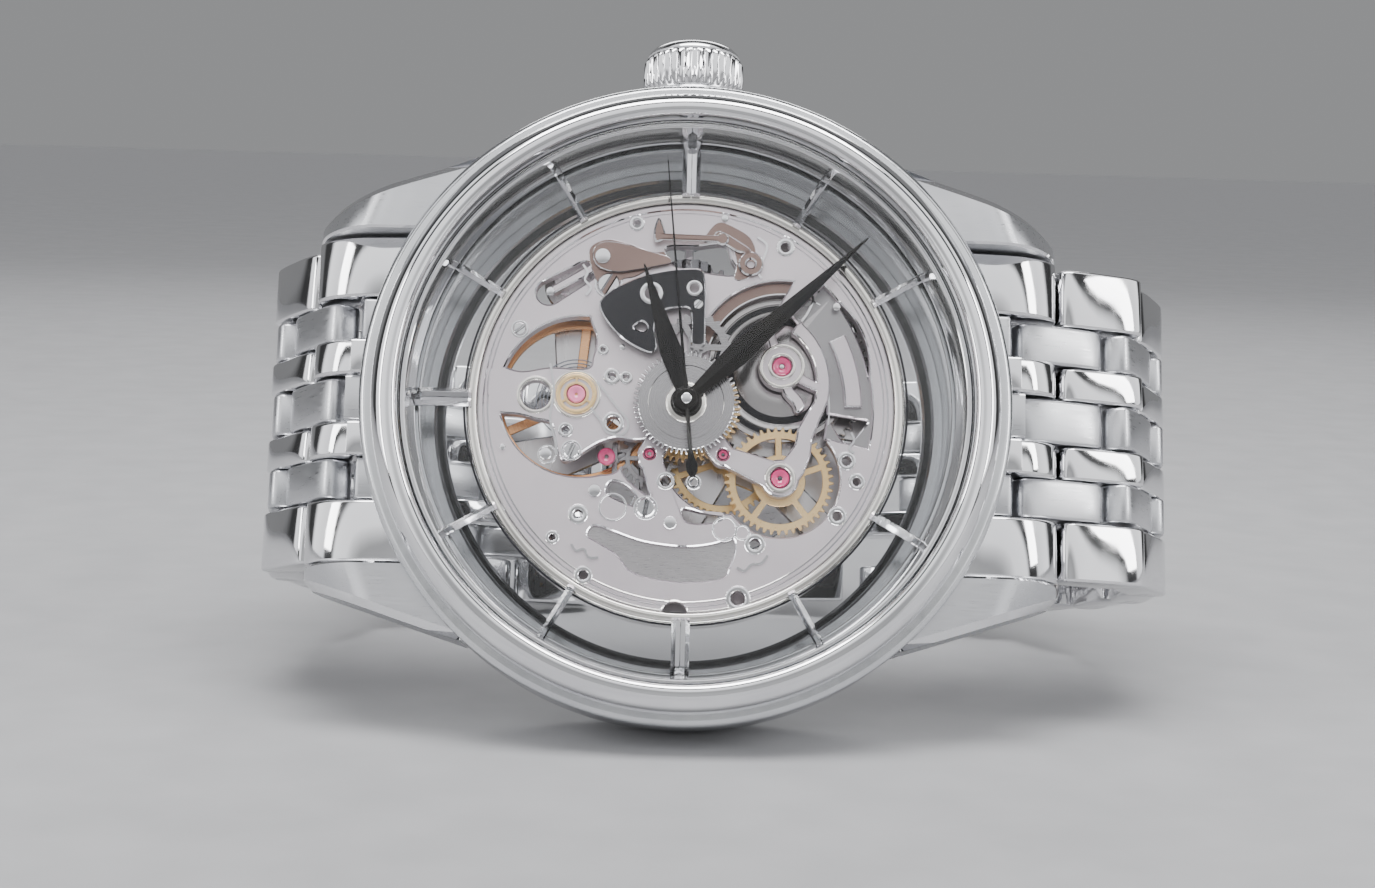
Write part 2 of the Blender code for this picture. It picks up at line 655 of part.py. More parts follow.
def make_escapement(frame):
    x, z = PALLET
    towards = Vector((BALANCE[0] - x, BALANCE[1] - z)).normalized()
    tip = (x + 2.9 * towards.x, z + 2.9 * towards.y)
    anchor = (x + 0.5, z)
    arms = [
        bar(PALLET, tip, 0.36, count=2),
        bar((anchor[0], z + 1.0), (anchor[0], z - 1.0), 0.34, count=2),
        bar(PALLET, anchor, 0.4, count=2),
    ]
    fork = layered([(1.9, 2.05, arms, []), (1.1, 2.2, [circle(PALLET, 0.14, 6)], [])])
    part("pallet_fork", fork, GREY_STEEL, frame, (x, 0, z))
    ends = [(BALANCE[0] + 5.0 * math.cos(t), BALANCE[1] + 5.0 * math.sin(t)) for t in (1.48, 3.58, 5.67)]
    wheel = layered(
        [
            (2.3, 2.65, [circle(BALANCE, 5.3, 24)], [circle(BALANCE, 4.75, 24)]),
            (2.4, 2.55, [bar(BALANCE, end, 0.6, count=1) for end in ends], []),
            (2.1, 2.65, [circle(BALANCE, 0.5, 8)], []),
            (0.12, 3.3, [circle(BALANCE, 0.14, 6)], []),
        ]
    )
    origin = (BALANCE[0], 0, BALANCE[1])
    part("balance_wheel", wheel, COPPER, frame, origin)
    hairspring = strip(spiral(BALANCE, 0.62, 2.7, 3, 12), 0.035, 1.35, 1.55)
    part("hairspring", hairspring, BLUE_STEEL, frame, origin)


# Winding and setting work.


def make_keyless_work(frame):
    cover = [
        (-5.6, 6.3), (-5.0, 7.0), (-4.1, 7.55), (-2.9, 8.1), (-1.3, 8.5), (0.6, 8.65), (1.0, 8.3), (1.0, 6.5),
        (0.2, 6.5), (0.1, 6.0), (-1.6, 5.9), (-2.2, 4.9), (-1.95, 3.4), (-2.4, 3.05), (-3.8, 3.7), (-4.8, 4.65),
        (-5.45, 5.8),
    ]
    part("setting_cover", layered([(-0.9, -0.7, [cover], [circle((-2.4, 6.75), 0.45, 12)])]), BLACK, frame)
    lever = [
        (-6.1, 9.9), (-5.2, 10.35), (-4.0, 10.2), (-1.4, 9.4), (-1.2, 9.0), (-2.6, 8.7), (-4.6, 8.5), (-6.0, 8.9),
    ]
    lever_solid = layered([(-0.35, -0.1, [lever], [])])
    part("setting_lever", lever_solid, COPPER, frame, (LEVER_PIVOT[0], 0, LEVER_PIVOT[1]))
    yoke = layered([(-0.35, -0.1, [circle(YOKE_PIVOT, 0.75, 12), bar(YOKE_PIVOT, (1.6, 10.9), 0.8, 0.6, 3)], [])])
    part("yoke", yoke, COPPER, frame, (YOKE_PIVOT[0], 0, YOKE_PIVOT[1]))
    stem_axis = (0, STEM_Y, 0)
    stem = [
        (0, 6.8), (0.3, 6.8), (0.3, 10.6), (0.6, 10.6), (0.6, 12.2), (0.42, 12.2), (0.42, 12.7), (0.6, 12.7),
        (0.6, 20.9), (0, 20.9),
    ]
    stem_solid = along_z(turned([(r, -z) for r, z in stem], 8), (0, STEM_Y))
    part("winding_stem", moved(stem_solid, FLIP_Z), POLISHED, frame, stem_axis)
    stem_bore = circle(CENTRE, 0.36, 8)
    winding = layered(
        [(-9.65, -9.0, [gear(CENTRE, WINDING_PINION_R - TOOTH, WINDING_PINION_R + REACH, WINDING_LEAVES)], [stem_bore])]
    )
    part("winding_pinion", moved(along_z(winding, (0, STEM_Y)), FLIP_Z), GREY_STEEL, frame, stem_axis)
    sliding = layered([(-8.95, -8.25, [gear(CENTRE, 0.62, 0.8, WINDING_LEAVES)], [stem_bore])])
    part("sliding_pinion", moved(along_z(sliding, (0, STEM_Y)), FLIP_Z), GREY_STEEL, frame, stem_axis)
    teeth = meshing(CROWN_WHEEL, BARREL, CROWN_WHEEL_TEETH, RATCHET_TEETH, True)
    crown_wheel = layered(
        [(*WINDING_Y, [teeth], []), (BRIDGE_FRONT, WINDING_Y[0], [circle(CROWN_WHEEL, 0.35, 8)], [])]
    )
    part("crown_wheel", crown_wheel, GREY_STEEL, frame, (CROWN_WHEEL[0], 0, CROWN_WHEEL[1]))


def make_crown(frame):
    """Onion-edged crown with fine flutes, hollow at the case side round the stem's end."""
    stations = (
        (20.65, 2.75, 2.75), (20.9, 3.0, 3.0), (21.3, 3.25, 3.0), (23.5, 3.25, 3.0), (23.9, 2.95, 2.9),
        (CROWN_REACH, 2.3, 2.3),
    )
    bm = bmesh.new()
    flutes = 20
    rings = []
    for z, tip, root in stations:
        points = gear(CENTRE, root, tip, flutes)
        rings.append([bm.verts.new((x, STEM_Y + y, z)) for x, y in points])
    for near, far in zip(rings, rings[1:]):
        for i in range(2 * flutes):
            j = (i + 1) % (2 * flutes)
            bm.faces.new((near[i], near[j], far[j], far[i]))
    bm.faces.new(rings[0][::-1])
    bm.faces.new(rings[-1])
    bmesh.ops.recalc_face_normals(bm, faces=bm.faces)
    socket = along_z(turned([(0, -21.1), (0.65, -21.1), (0.65, -20.0), (0, -20.0)], 8), (0, STEM_Y))
    crown = combined("DIFFERENCE", bm, [moved(socket, FLIP_Z)])
    part("crown", crown, POLISHED, frame, (0, STEM_Y, 0))


def make_rotor(frame):
    weight = layered(
        [
            (3.75, 4.05, [band(CENTRE, 1.75, 12.8, 190, 350, 10)], spokes(CENTRE, 4.6, 9.6, 9, 1.2, 5)[5:8]),
            (3.75, 4.6, [band(CENTRE, 10.9, 12.8, 190, 350, 10)], []),
            (3.75, 4.2, [circle(CENTRE, 2.3, 12)], []),
        ]
    )
    part("rotor", weight, BRUSHED, frame)
    bearing = turned([(0, BRIDGE_BACK + 0.03), (1.6, BRIDGE_BACK + 0.03), (1.6, 3.7), (0, 3.7)], 14)
    part("rotor_bearing", bearing, POLISHED, frame)


# Bracelet and clasp.


def row_spans(width):
    """The (low, high) of each of the seven rows across a link of a given width."""
    scale = width / sum(ROWS)
    spans = []
    low = -width / 2
    for row in ROWS:
        high = low + row * scale
        spans.append((low + GAP, high - GAP))
        low = high
    return spans


def link_profile(start, end, round_start):
    """Side outline of one row: along the link, and out of the loop. The round end turns on the pin."""
    half = LINK_HALF
    chamfer = 0.6
    if round_start:
        return [
            (start, 0.5 * half), (start, -0.4 * half), (start + chamfer, -half), (end, -half),
            (end, 0.6 * half), (end - chamfer, half), (start + chamfer, half),
        ]
    return [
        (start, 0.6 * half), (start, -half), (end - chamfer, -half), (end, -0.4 * half),
        (end, 0.5 * half), (end - chamfer, half), (start + chamfer, half),
    ]


def make_unit(width):
    """One bracelet unit: E and P pieces one way, B pieces half a pitch behind, joined by a hidden bar."""
    quarter = PITCH / 4
    pieces = []
    for index, (low, high) in enumerate(row_spans(width)):
        first = -1 if index % 2 else 1
        profile = link_profile(first * quarter + 2 * GAP, (first + 4) * quarter - 2 * GAP, first < 0)
        pieces.append(prism(profile, low, high))
    core = ((1.35 * quarter, -0.6), (2.65 * quarter, -0.6), (2.0 * quarter, 0.7))
    inset = ROWS[0] * width / sum(ROWS) * 0.5
    bar_solid = prism(core, -width / 2 + inset, width / 2 - inset)
    return combined("UNION", bar_solid, pieces)


def run_pins(side):
    """Pin positions and link angles of one side, from the case outwards, as (x, y, degrees)."""
    x, y = PIN_START
    pins = []
    for angle in RIGHT_RUN if side > 0 else LEFT_RUN:
        pins.append((side * x, y, angle if side > 0 else 180 - angle))
        x += PITCH * math.cos(math.radians(angle))
        y += PITCH * math.sin(math.radians(angle))
    return pins, (side * x, y)


def link_matrix(x, y, angle, side):
    """Takes a link drawn along +X, with +Y out of the loop, to its pin and angle."""
    turn = Matrix.Rotation(math.radians(angle), 4, "Z")
    outward = Matrix.Diagonal((1, -side, 1, 1))
    return shift(x, y) @ turn @ outward


def make_end_link(frame, name, side):
    """The piece between the lugs, whose tongues carry the first unit."""
    width = LUG_GAP - 2 * GAP
    quarter = PITCH / 4
    x, y = PIN_START
    pieces = []
    for index, (low, high) in enumerate(row_spans(width)):
        reach = quarter - 2 * GAP if index % 2 == 0 else -quarter - 2 * GAP
        nose = x + reach
        outline = [
            (20.45, y - 3.1), (20.9, y - 3.2), (nose - 0.5, y - LINK_HALF - 0.35 - (0.6 if index % 2 else 0)),
            (nose, y - 0.55 * LINK_HALF), (nose, y + 0.55 * LINK_HALF), (nose - 0.5, y + LINK_HALF),
            (20.45, y + LINK_HALF),
        ]
        if index % 2:
            outline = [(20.45, y - 3.1), (nose - 0.1, y - 2.5), (nose, y + LINK_HALF), (20.45, y + LINK_HALF)]
        pieces.append(prism(outline, low, high))
    inset = ROWS[0] * 0.5
    core = ((20.47, y - 2.4), (20.72, y - 2.4), (20.72, y + 0.9), (20.47, y + 0.9))
    body = combined("UNION", prism(core, -width / 2 + inset, width / 2 - inset), pieces)
    part(name, moved(body, Matrix.Diagonal((side, 1, 1, 1))), BRUSHED, frame)


def make_bracelet(frame):
    for side, label in ((1, "right"), (-1, "left")):
        make_end_link(frame, f"{label}_end_link", side)
        pins, _ = run_pins(side)
        for number, (x, y, angle) in enumerate(pins, 1):
            unit = make_unit(LUG_GAP - 2 * GAP - TAPER * number)
            solid = moved(unit, link_matrix(x, y, angle, side))
            part(f"{label}_link_{number}", solid, BRUSHED, frame, (x, y, 0))


def make_clasp(frame):
    """Folding clasp: a cover over two folded blades, shut but free of the far side's last pin."""
    _, (x0, y0) = run_pins(-1)
    _, (x1, y1) = run_pins(1)
    last = len(LEFT_RUN) + 1
    length = math.hypot(x1 - x0, y1 - y0)
    place = shift(x0, y0) @ Matrix.Rotation(math.atan2(y1 - y0, x1 - x0), 4, "Z")

    def arch(start, end, offset, thick):
        """Outline of a curved plate along the clasp, its middle pushed out of the loop."""
        stations = [start + (end - start) * i / 6 for i in range(7)]
        middle = [(s, offset + CLASP_RISE * (1 - (2 * s / length - 1) ** 2)) for s in stations]
        outer = [(s, y + thick / 2) for s, y in middle]
        return outer + [(s, y - thick / 2) for s, y in reversed(middle)]

    spans = row_spans(LUG_GAP - 2 * GAP - TAPER * last)
    wide = spans[-1][1] - 0.6
    tongue = [(-1.0, 0.7), (-1.0, -0.7), (0.9, -0.9), (2.6, 0.75), (2.6, 1.3), (0.6, 1.3)]
    tongues = [prism(tongue, low, high) for low, high in spans[1::2]]
    cover = combined("UNION", prism(arch(2.0, length - 2.7, 0.9, 0.7), -wide, wide), tongues)
    part("clasp_cover", moved(cover, place), POLISHED, frame, (x0, y0, 0))
    long_blade = prism(arch(2.9, length - 3.0, 0.05, 0.6), -4.6, 4.6)
    far_pin = place @ Vector((length - 3.4, 0.05, 0))
    part("clasp_long_blade", moved(long_blade, place), POLISHED, frame, tuple(far_pin))
    short_blade = prism(arch(3.0, length - 2.3, -0.8, 0.6), -4.2, 4.2)
    near_pin = place @ Vector((3.4, -0.5, 0))
    part("clasp_short_blade", moved(short_blade, place), POLISHED, frame, tuple(near_pin))


# Standing the watch up.


def points_of(objects):
    """Every corner of some solids, in the watch frame and in metres."""
    return [Vector(vert.co) + obj.location for obj in objects for vert in obj.data.vertices]


def stand_up(frame):
    """Leans the watch back until the case and the clasp side both rest, then lifts it on to Z = 0."""
    case = points_of(obj for obj in frame.children if obj.name.startswith("case_"))
    chain = points_of(obj for obj in frame.children if "link" in obj.name or "clasp" in obj.name)

    def bottom(points, lean):
        return min(point.z * math.cos(lean) + point.y * math.sin(lean) for point in points)

    low, high = 0.0, math.radians(40)
    for _ in range(50):
        lean = (low + high) / 2
        if bottom(chain, -lean) > bottom(case, -lean):
            low = lean
        else:
            high = lean
    turn = Matrix.Rotation(-low, 4, "X")
    points = [turn @ point for point in points_of(frame.children)]
    centre = [(min(p[i] for p in points) + max(p[i] for p in points)) / 2 for i in range(2)]
    frame.rotation_euler = (-low, 0, 0)
    frame.location = (-centre[0], -centre[1], -min(p.z for p in points))


def main():
    clear_scene()
    frame = bpy.data.objects.new("watch_frame", None)
    bpy.context.scene.collection.objects.link(frame)
    make_case_middle(frame)
    make_case_front(frame)
    make_case_back(frame)
    make_hour_ring(frame)
    make_dial_ring(frame)
    make_main_plate(frame)
    make_bridges(frame)
    make_jewels(frame)
    make_motion_work(frame)
    make_hands(frame)
    make_barrel(frame)
    make_train(frame)
    make_escapement(frame)
    make_keyless_work(frame)
    make_crown(frame)
    make_rotor(frame)
    make_bracelet(frame)
    make_clasp(frame)
    stand_up(frame)


main()
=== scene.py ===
"""Looks of the skeleton wristwatch: polished, brushed and frosted steel, gilt wheels, jewels and glass.

Shapes are drawn in the watch's own frame, in millimetres: X runs from 12 to 6 o'clock, Y from the crystal to
the case back and Z from 9 to 3 o'clock, with the dial's centre at the origin. That frame and every moving
piece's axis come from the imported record's joints.
"""

import json
import math

import bmesh
import bpy
from mathutils import Matrix, Vector
from mathutils.geometry import delaunay_2d_cdt


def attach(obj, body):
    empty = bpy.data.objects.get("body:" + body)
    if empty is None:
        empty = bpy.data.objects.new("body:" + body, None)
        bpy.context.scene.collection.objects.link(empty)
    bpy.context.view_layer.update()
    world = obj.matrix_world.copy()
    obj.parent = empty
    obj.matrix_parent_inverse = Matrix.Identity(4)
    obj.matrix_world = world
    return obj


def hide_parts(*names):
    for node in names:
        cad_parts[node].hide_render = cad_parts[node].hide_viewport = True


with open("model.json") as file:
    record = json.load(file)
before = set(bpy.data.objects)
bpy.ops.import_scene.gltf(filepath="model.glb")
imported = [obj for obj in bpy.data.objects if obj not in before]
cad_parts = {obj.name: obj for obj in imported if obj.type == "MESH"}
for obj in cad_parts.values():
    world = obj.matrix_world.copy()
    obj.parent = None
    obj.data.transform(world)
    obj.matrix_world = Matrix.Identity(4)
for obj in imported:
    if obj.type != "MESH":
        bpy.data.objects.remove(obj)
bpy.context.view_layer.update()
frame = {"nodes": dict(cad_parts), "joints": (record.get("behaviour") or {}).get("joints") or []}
JOINTS = {joint["name"]: joint for joint in frame["joints"]}

MM = 0.001
CENTRE = (0.0, 0.0)

# How finely round shapes are drawn, in points a turn.
FINE = 192
ROUND = 96
SMALL = 32
STAFF = 16

# Case, glass and dial, radii and depths along Y.
CASE_R = 20.25
CASE_FRONT = -2.5
CASE_BACK = 4.9
BEZEL_R = 19.5
SEAT_R = 17.75
LEDGE_R = 16.8
CRYSTAL_R = 17.68
CRYSTAL_TOP = -4.6
FLANGE_R = 16.95
BACK_R = 19.2
BACK_FACE = 6.5
MOVEMENT_R = 13.8
PLATE_R = 13.1
PLATE_BACK = 1.0
BRIDGE_FRONT = 2.95
BRIDGE_BACK = 3.35
GAP = 0.05
EDGE = 0.11

# What is built for the dial's side is mirrored onto the movement's back.
TO_BACK = Matrix.Diagonal((1, -1, 1, 1))

# Bracelet. The rows' widths are shares of a link's width.
LUG_GAP = 21.0
ROWS = (4.0, 2.7, 2.3, 3.0, 2.3, 2.7, 4.0)
PITCH = 6.3
LINK_HALF = 1.3
LINKS = 7
TAPER = 0.42
CLASP_RISE = 1.1
# Which way each side's last unit points, in degrees from +X towards +Y.
LAST_ANGLE = {"right": 160.0, "left": 18.0}

# Crown.
STEM_Y = 2.0
CROWN_BASE = 20.65
CROWN_REACH = 24.2
CROWN_R = 3.25
FLUTES = 40


def watch_matrix():
    """The watch's frame: Y along the hands' axis, X level, Z up the dial towards 3 o'clock."""
    centre = JOINTS["minute_hand_turn"]
    y_axis = Vector(centre["axis"])
    x_axis = Vector((1, 0, 0))
    turn = Matrix((x_axis, y_axis, x_axis.cross(y_axis))).transposed().to_4x4()
    return Matrix.Translation(centre["pos_m"]) @ turn


WATCH = watch_matrix()


def joint_point(name):
    """Where a joint is, in the watch's frame and in millimetres."""
    return (WATCH.inverted() @ Vector(JOINTS[name]["pos_m"])) / MM


def on_dial(name):
    """A joint's place seen from the front, as (x, z)."""
    point = joint_point(name)
    return point.x, point.z


BARREL = on_dial("barrel_turn")
GREAT = on_dial("great_wheel_turn")
THIRD = on_dial("third_wheel_turn")
ESCAPE = on_dial("escape_wheel_turn")
PALLET = on_dial("pallet_fork_rock")
BALANCE = on_dial("balance_swing")
MOTION = on_dial("minute_wheel_turn")
CROWN_WHEEL = on_dial("crown_wheel_turn")
LEVER_PIVOT = on_dial("setting_lever_turn")
YOKE_PIVOT = on_dial("yoke_turn")


# Materials. Each is a node tree on the object's own coordinates, in metres.


def node(tree, kind, **settings):
    made = tree.nodes.new(kind)
    for name, value in settings.items():
        setattr(made, name, value)
    return made


def noise_of(tree, scale, stretch=(1, 1, 1), detail=4.0):
    """Noise in object space: scale is features a metre, and stretch multiplies it along each axis."""
    coords = node(tree, "ShaderNodeTexCoord")
    mapping = node(tree, "ShaderNodeMapping")
    mapping.inputs["Scale"].default_value = stretch
    texture = node(tree, "ShaderNodeTexNoise")
    texture.inputs["Scale"].default_value = scale
    texture.inputs["Detail"].default_value = detail
    tree.links.new(coords.outputs["Object"], mapping.inputs["Vector"])
    tree.links.new(mapping.outputs["Vector"], texture.inputs["Vector"])
    return texture.outputs["Fac"]


def ring_noise(tree, centre, scale):
    """Noise that changes only with distance from an axis along Y: circular graining."""
    coords = node(tree, "ShaderNodeTexCoord")
    offset = node(tree, "ShaderNodeVectorMath", operation="SUBTRACT")
    offset.inputs[1].default_value = (centre[0] * MM, 0, centre[1] * MM)
    flat = node(tree, "ShaderNodeVectorMath", operation="MULTIPLY")
    flat.inputs[1].default_value = (1, 0, 1)
    length = node(tree, "ShaderNodeVectorMath", operation="LENGTH")
    texture = node(tree, "ShaderNodeTexNoise", noise_dimensions="1D")
    texture.inputs["Scale"].default_value = scale
    texture.inputs["Detail"].default_value = 5.0
    tree.links.new(coords.outputs["Object"], offset.inputs[0])
    tree.links.new(offset.outputs["Vector"], flat.inputs[0])
    tree.links.new(flat.outputs["Vector"], length.inputs[0])
    tree.links.new(length.outputs["Value"], texture.inputs["W"])
    return texture.outputs["Fac"]


def ranged(tree, source, low, high):
    """Noise, which mostly stays between 0.3 and 0.7, spread over low to high."""
    spread = node(tree, "ShaderNodeMapRange")
    spread.inputs["From Min"].default_value = 0.3
    spread.inputs["From Max"].default_value = 0.7
    spread.inputs["To Min"].default_value = low
    spread.inputs["To Max"].default_value = high
    tree.links.new(source, spread.inputs["Value"])
    return spread.outputs["Result"]


def tinted(tree, source, first, second):
    mix = node(tree, "ShaderNodeMix", data_type="RGBA")
    mix.inputs["A"].default_value = (*first, 1.0)
    mix.inputs["B"].default_value = (*second, 1.0)
    tree.links.new(ranged(tree, source, 0.0, 1.0), mix.inputs["Factor"])
    return mix.outputs["Result"]


def surface(name, slot, light, dark, roughness, metallic=1.0, scale=400.0, stretch=(1, 1, 1), bump=0.0,
            centre=None, coat=0.0, specular=0.5):
    """A Principled material whose colour, roughness and bump follow one grain and a slower cloud of wear."""
    made = bpy.data.materials.new(name)
    made.use_nodes = True
    made["slot"] = slot
    tree = made.node_tree
    shader = tree.nodes["Principled BSDF"]
    grain = ring_noise(tree, centre, scale) if centre else noise_of(tree, scale, stretch)
    cloud = noise_of(tree, 170.0, detail=2.0)
    tree.links.new(tinted(tree, cloud, light, dark), shader.inputs["Base Color"])
    tree.links.new(ranged(tree, grain, *roughness), shader.inputs["Roughness"])
    shader.inputs["Metallic"].default_value = metallic
    shader.inputs["Coat Weight"].default_value = coat
    shader.inputs["Coat Roughness"].default_value = 0.03
    shader.inputs["Specular IOR Level"].default_value = specular
    if bump:
        relief = node(tree, "ShaderNodeBump")
        relief.inputs["Strength"].default_value = bump
        relief.inputs["Distance"].default_value = 0.01 * MM
        tree.links.new(grain, relief.inputs["Height"])
        tree.links.new(relief.outputs["Normal"], shader.inputs["Normal"])
    return made


def glass(name, tint, facing_on, at_rim):
    """Thin clear glass: what is behind shows straight through, with a gloss that grows towards the rim."""
    made = bpy.data.materials.new(name)
    made.use_nodes = True
    made["slot"] = "clear_glass"
    tree = made.node_tree
    tree.nodes.remove(tree.nodes["Principled BSDF"])
    output = tree.nodes["Material Output"]
    through = node(tree, "ShaderNodeBsdfTransparent")
    through.inputs["Color"].default_value = (*tint, 1.0)
    gloss = node(tree, "ShaderNodeBsdfGlossy")
    tree.links.new(ranged(tree, noise_of(tree, 120.0), 0.0, 0.03), gloss.inputs["Roughness"])
    facing = node(tree, "ShaderNodeLayerWeight")
    facing.inputs["Blend"].default_value = 0.5
    steep = node(tree, "ShaderNodeMath", operation="POWER")
    steep.inputs[1].default_value = 4.0
    share = node(tree, "ShaderNodeMapRange")
    share.inputs["To Min"].default_value = facing_on
    share.inputs["To Max"].default_value = at_rim
    mix = node(tree, "ShaderNodeMixShader")
    tree.links.new(facing.outputs["Facing"], steep.inputs[0])
    tree.links.new(steep.outputs["Value"], share.inputs["Value"])
    tree.links.new(share.outputs["Result"], mix.inputs["Fac"])
    tree.links.new(through.outputs["BSDF"], mix.inputs[1])
    tree.links.new(gloss.outputs["BSDF"], mix.inputs[2])
    tree.links.new(mix.outputs["Shader"], output.inputs["Surface"])
    return made


POLISHED = surface("mirror_steel", "polished_steel", (0.88, 0.88, 0.89), (0.80, 0.80, 0.82), (0.04, 0.09))
LINK_POLISH = surface(
    "link_polish", "polished_steel", (0.86, 0.86, 0.87), (0.77, 0.77, 0.79), (0.05, 0.11),
    scale=900.0, bump=0.02,
)
RIM_STEEL = surface("rim_steel", "polished_steel", (0.93, 0.91, 0.86), (0.86, 0.83, 0.78), (0.05, 0.12))
BRUSHED = surface(
    "brushed_steel", "brushed_steel", (0.70, 0.70, 0.72), (0.58, 0.59, 0.61), (0.26, 0.38),
    scale=1700.0, stretch=(0.3, 6, 6), bump=0.09,
)
CASE_SATIN = surface(
    "case_satin", "brushed_steel", (0.74, 0.75, 0.76), (0.64, 0.65, 0.67), (0.14, 0.26),
    scale=1200.0, stretch=(1, 8, 1), bump=0.06,
)
FROSTED = surface(
    "frosted_rhodium", "frosted_rhodium", (0.80, 0.735, 0.765), (0.70, 0.64, 0.68), (0.34, 0.5),
    scale=9000.0, bump=0.35,
)
RECESS = surface(
    "recess_satin", "frosted_rhodium", (0.62, 0.60, 0.61), (0.50, 0.48, 0.49), (0.24, 0.36),
    scale=6000.0, stretch=(0.2, 1, 4), bump=0.1,
)
SHELF = surface(
    "shelf_satin", "frosted_rhodium", (0.42, 0.41, 0.42), (0.34, 0.33, 0.34), (0.28, 0.4),
    scale=5000.0, stretch=(1, 1, 4), bump=0.2,
)
BROWN = surface(
    "rose_satin", "copper_gilt", (0.33, 0.235, 0.205), (0.25, 0.175, 0.155), (0.28, 0.42),
    scale=7000.0, stretch=(0.5, 1, 5), bump=0.2,
)
BRIDGE = surface(
    "striped_rhodium", "frosted_rhodium", (0.80, 0.78, 0.78), (0.70, 0.68, 0.69), (0.22, 0.36),
    scale=420.0, stretch=(2.4, 0.01, 0.03), bump=0.6,
)
GREY = surface(
    "grey_steel", "grey_steel", (0.50, 0.49, 0.50), (0.38, 0.37, 0.38), (0.18, 0.32),
    scale=26000.0, centre=CENTRE, bump=0.25,
)
DARK_GREY = surface(
    "dark_steel", "grey_steel", (0.20, 0.20, 0.21), (0.12, 0.12, 0.13), (0.16, 0.3), scale=4000.0,
)
DRUM = surface(
    "drum_steel", "grey_steel", (0.62, 0.60, 0.60), (0.50, 0.48, 0.48), (0.14, 0.26),
    scale=22000.0, centre=BARREL, bump=0.2,
)
BLACK = surface(
    "black_polish", "black_polish", (0.012, 0.012, 0.014), (0.02, 0.02, 0.024), (0.05, 0.14),
    metallic=0.0, scale=900.0, specular=0.3,
)
HAND_BLACK = surface(
    "hand_black", "black_polish", (0.008, 0.008, 0.009), (0.014, 0.013, 0.012), (0.16, 0.26),
    metallic=0.0, scale=3000.0, specular=0.16,
)
GILT = surface(
    "gilt_wheels", "gilt_brass", (1.0, 0.76, 0.42), (0.92, 0.64, 0.30), (0.26, 0.40),
    scale=9000.0, bump=0.15,
)
COPPER = surface(
    "copper_rim", "copper_gilt", (0.98, 0.56, 0.30), (0.88, 0.45, 0.20), (0.18, 0.3),
    scale=20000.0, centre=BALANCE, bump=0.15,
)
SPRING = surface(
    "spring_steel", "spring_steel", (0.35, 0.37, 0.42), (0.24, 0.26, 0.31), (0.15, 0.3), scale=3000.0,
)
RUBY = surface(
    "ruby", "ruby", (0.86, 0.10, 0.30), (0.62, 0.03, 0.16), (0.03, 0.10),
    metallic=0.0, scale=900.0, coat=1.0,
)
PINK_RUBY = surface(
    "pink_ruby", "ruby", (0.95, 0.30, 0.50), (0.86, 0.16, 0.38), (0.03, 0.10),
    metallic=0.0, scale=900.0, coat=1.0,
)
CRYSTAL = glass("sapphire_crystal", (0.99, 0.99, 0.99), 0.012, 0.3)
CLEAR = glass("clear_ring", (0.95, 0.955, 0.96), 0.03, 0.45)


# Outlines: lists of (x, z) points in millimetres.


def polar(centre, radius, turn):
    """The point at an angle from +X towards +Z, in radians."""
    return centre[0] + radius * math.cos(turn), centre[1] + radius * math.sin(turn)


def circle(centre, radius, count=SMALL):
    return [polar(centre, radius, 2 * math.pi * i / count) for i in range(count)]


def arc(centre, radius, start, end, count):
    """Points on a circle from one angle to another, in degrees from +X towards +Z."""
    turns = [math.radians(start + (end - start) * i / count) for i in range(count + 1)]
    return [polar(centre, radius, turn) for turn in turns]


def band(centre, inner, outer, start, end, count=24):
    """Outline of a piece of a ring."""
    return arc(centre, outer, start, end, count) + arc(centre, inner, end, start, count)


def bar(start, end, width, end_width=None, count=12):
    """Outline of a straight arm with round ends."""
    end_width = end_width or width
    tilt = math.degrees(math.atan2(end[1] - start[1], end[0] - start[0]))
    near = arc(start, width / 2, tilt + 90, tilt + 270, count)
    return near + arc(end, end_width / 2, tilt - 90, tilt + 90, count)


def smooth_line(points, steps=6, closed=True):
    """A curve through a few points."""
    count = len(points)
    made = []
    for i in range(count if closed else count - 1):
        index = [i - 1, i, i + 1, i + 2]
        if not closed:
            index = [min(max(k, 0), count - 1) for k in index]
        a, b, c, d = [Vector(points[k % count]) for k in index]
        for step in range(steps):
            t = step / steps
            slope_b = (c - a) / 2
            slope_c = (d - b) / 2
            spot = (2 * t**3 - 3 * t**2 + 1) * b + (t**3 - 2 * t**2 + t) * slope_b
            spot += (3 * t**2 - 2 * t**3) * c + (t**3 - t**2) * slope_c
            made.append(tuple(spot))
    if not closed:
        made.append(tuple(points[-1]))
    return made


def softened(points, radius, steps=3, closed=True):
    """An outline or profile with each corner rounded off."""
    count = len(points)
    made = []
    for i, point in enumerate(points):
        if not closed and i in (0, count - 1):
            made.append(tuple(point))
            continue
        here = Vector(point)
        back = Vector(points[i - 1]) - here
        ahead = Vector(points[(i + 1) % count]) - here
        reach = min(radius, 0.45 * back.length, 0.45 * ahead.length)
        start = here + back.normalized() * reach
        end = here + ahead.normalized() * reach
        for step in range(steps + 1):
            t = step / steps
            made.append(tuple((1 - t) ** 2 * start + 2 * t * (1 - t) * here + t**2 * end))
    return made


def gear(centre, root, tip, teeth, phase=0.0, lean=0.0):
    """Outline with flat-topped teeth, one at the phase angle in degrees; lean tips them over like a saw's.

    A tooth's foot spans 0.6 and its top 0.26 of the pitch from one tooth to the next.
    """
    points = []
    step = 2 * math.pi / teeth
    for i in range(teeth):
        middle = math.radians(phase) + step * i
        for side, radius in ((-0.30, root), (-0.13 + lean, tip), (0.13 + lean, tip), (0.30, root)):
            points.append(polar(centre, radius, middle + side * step))
    return points


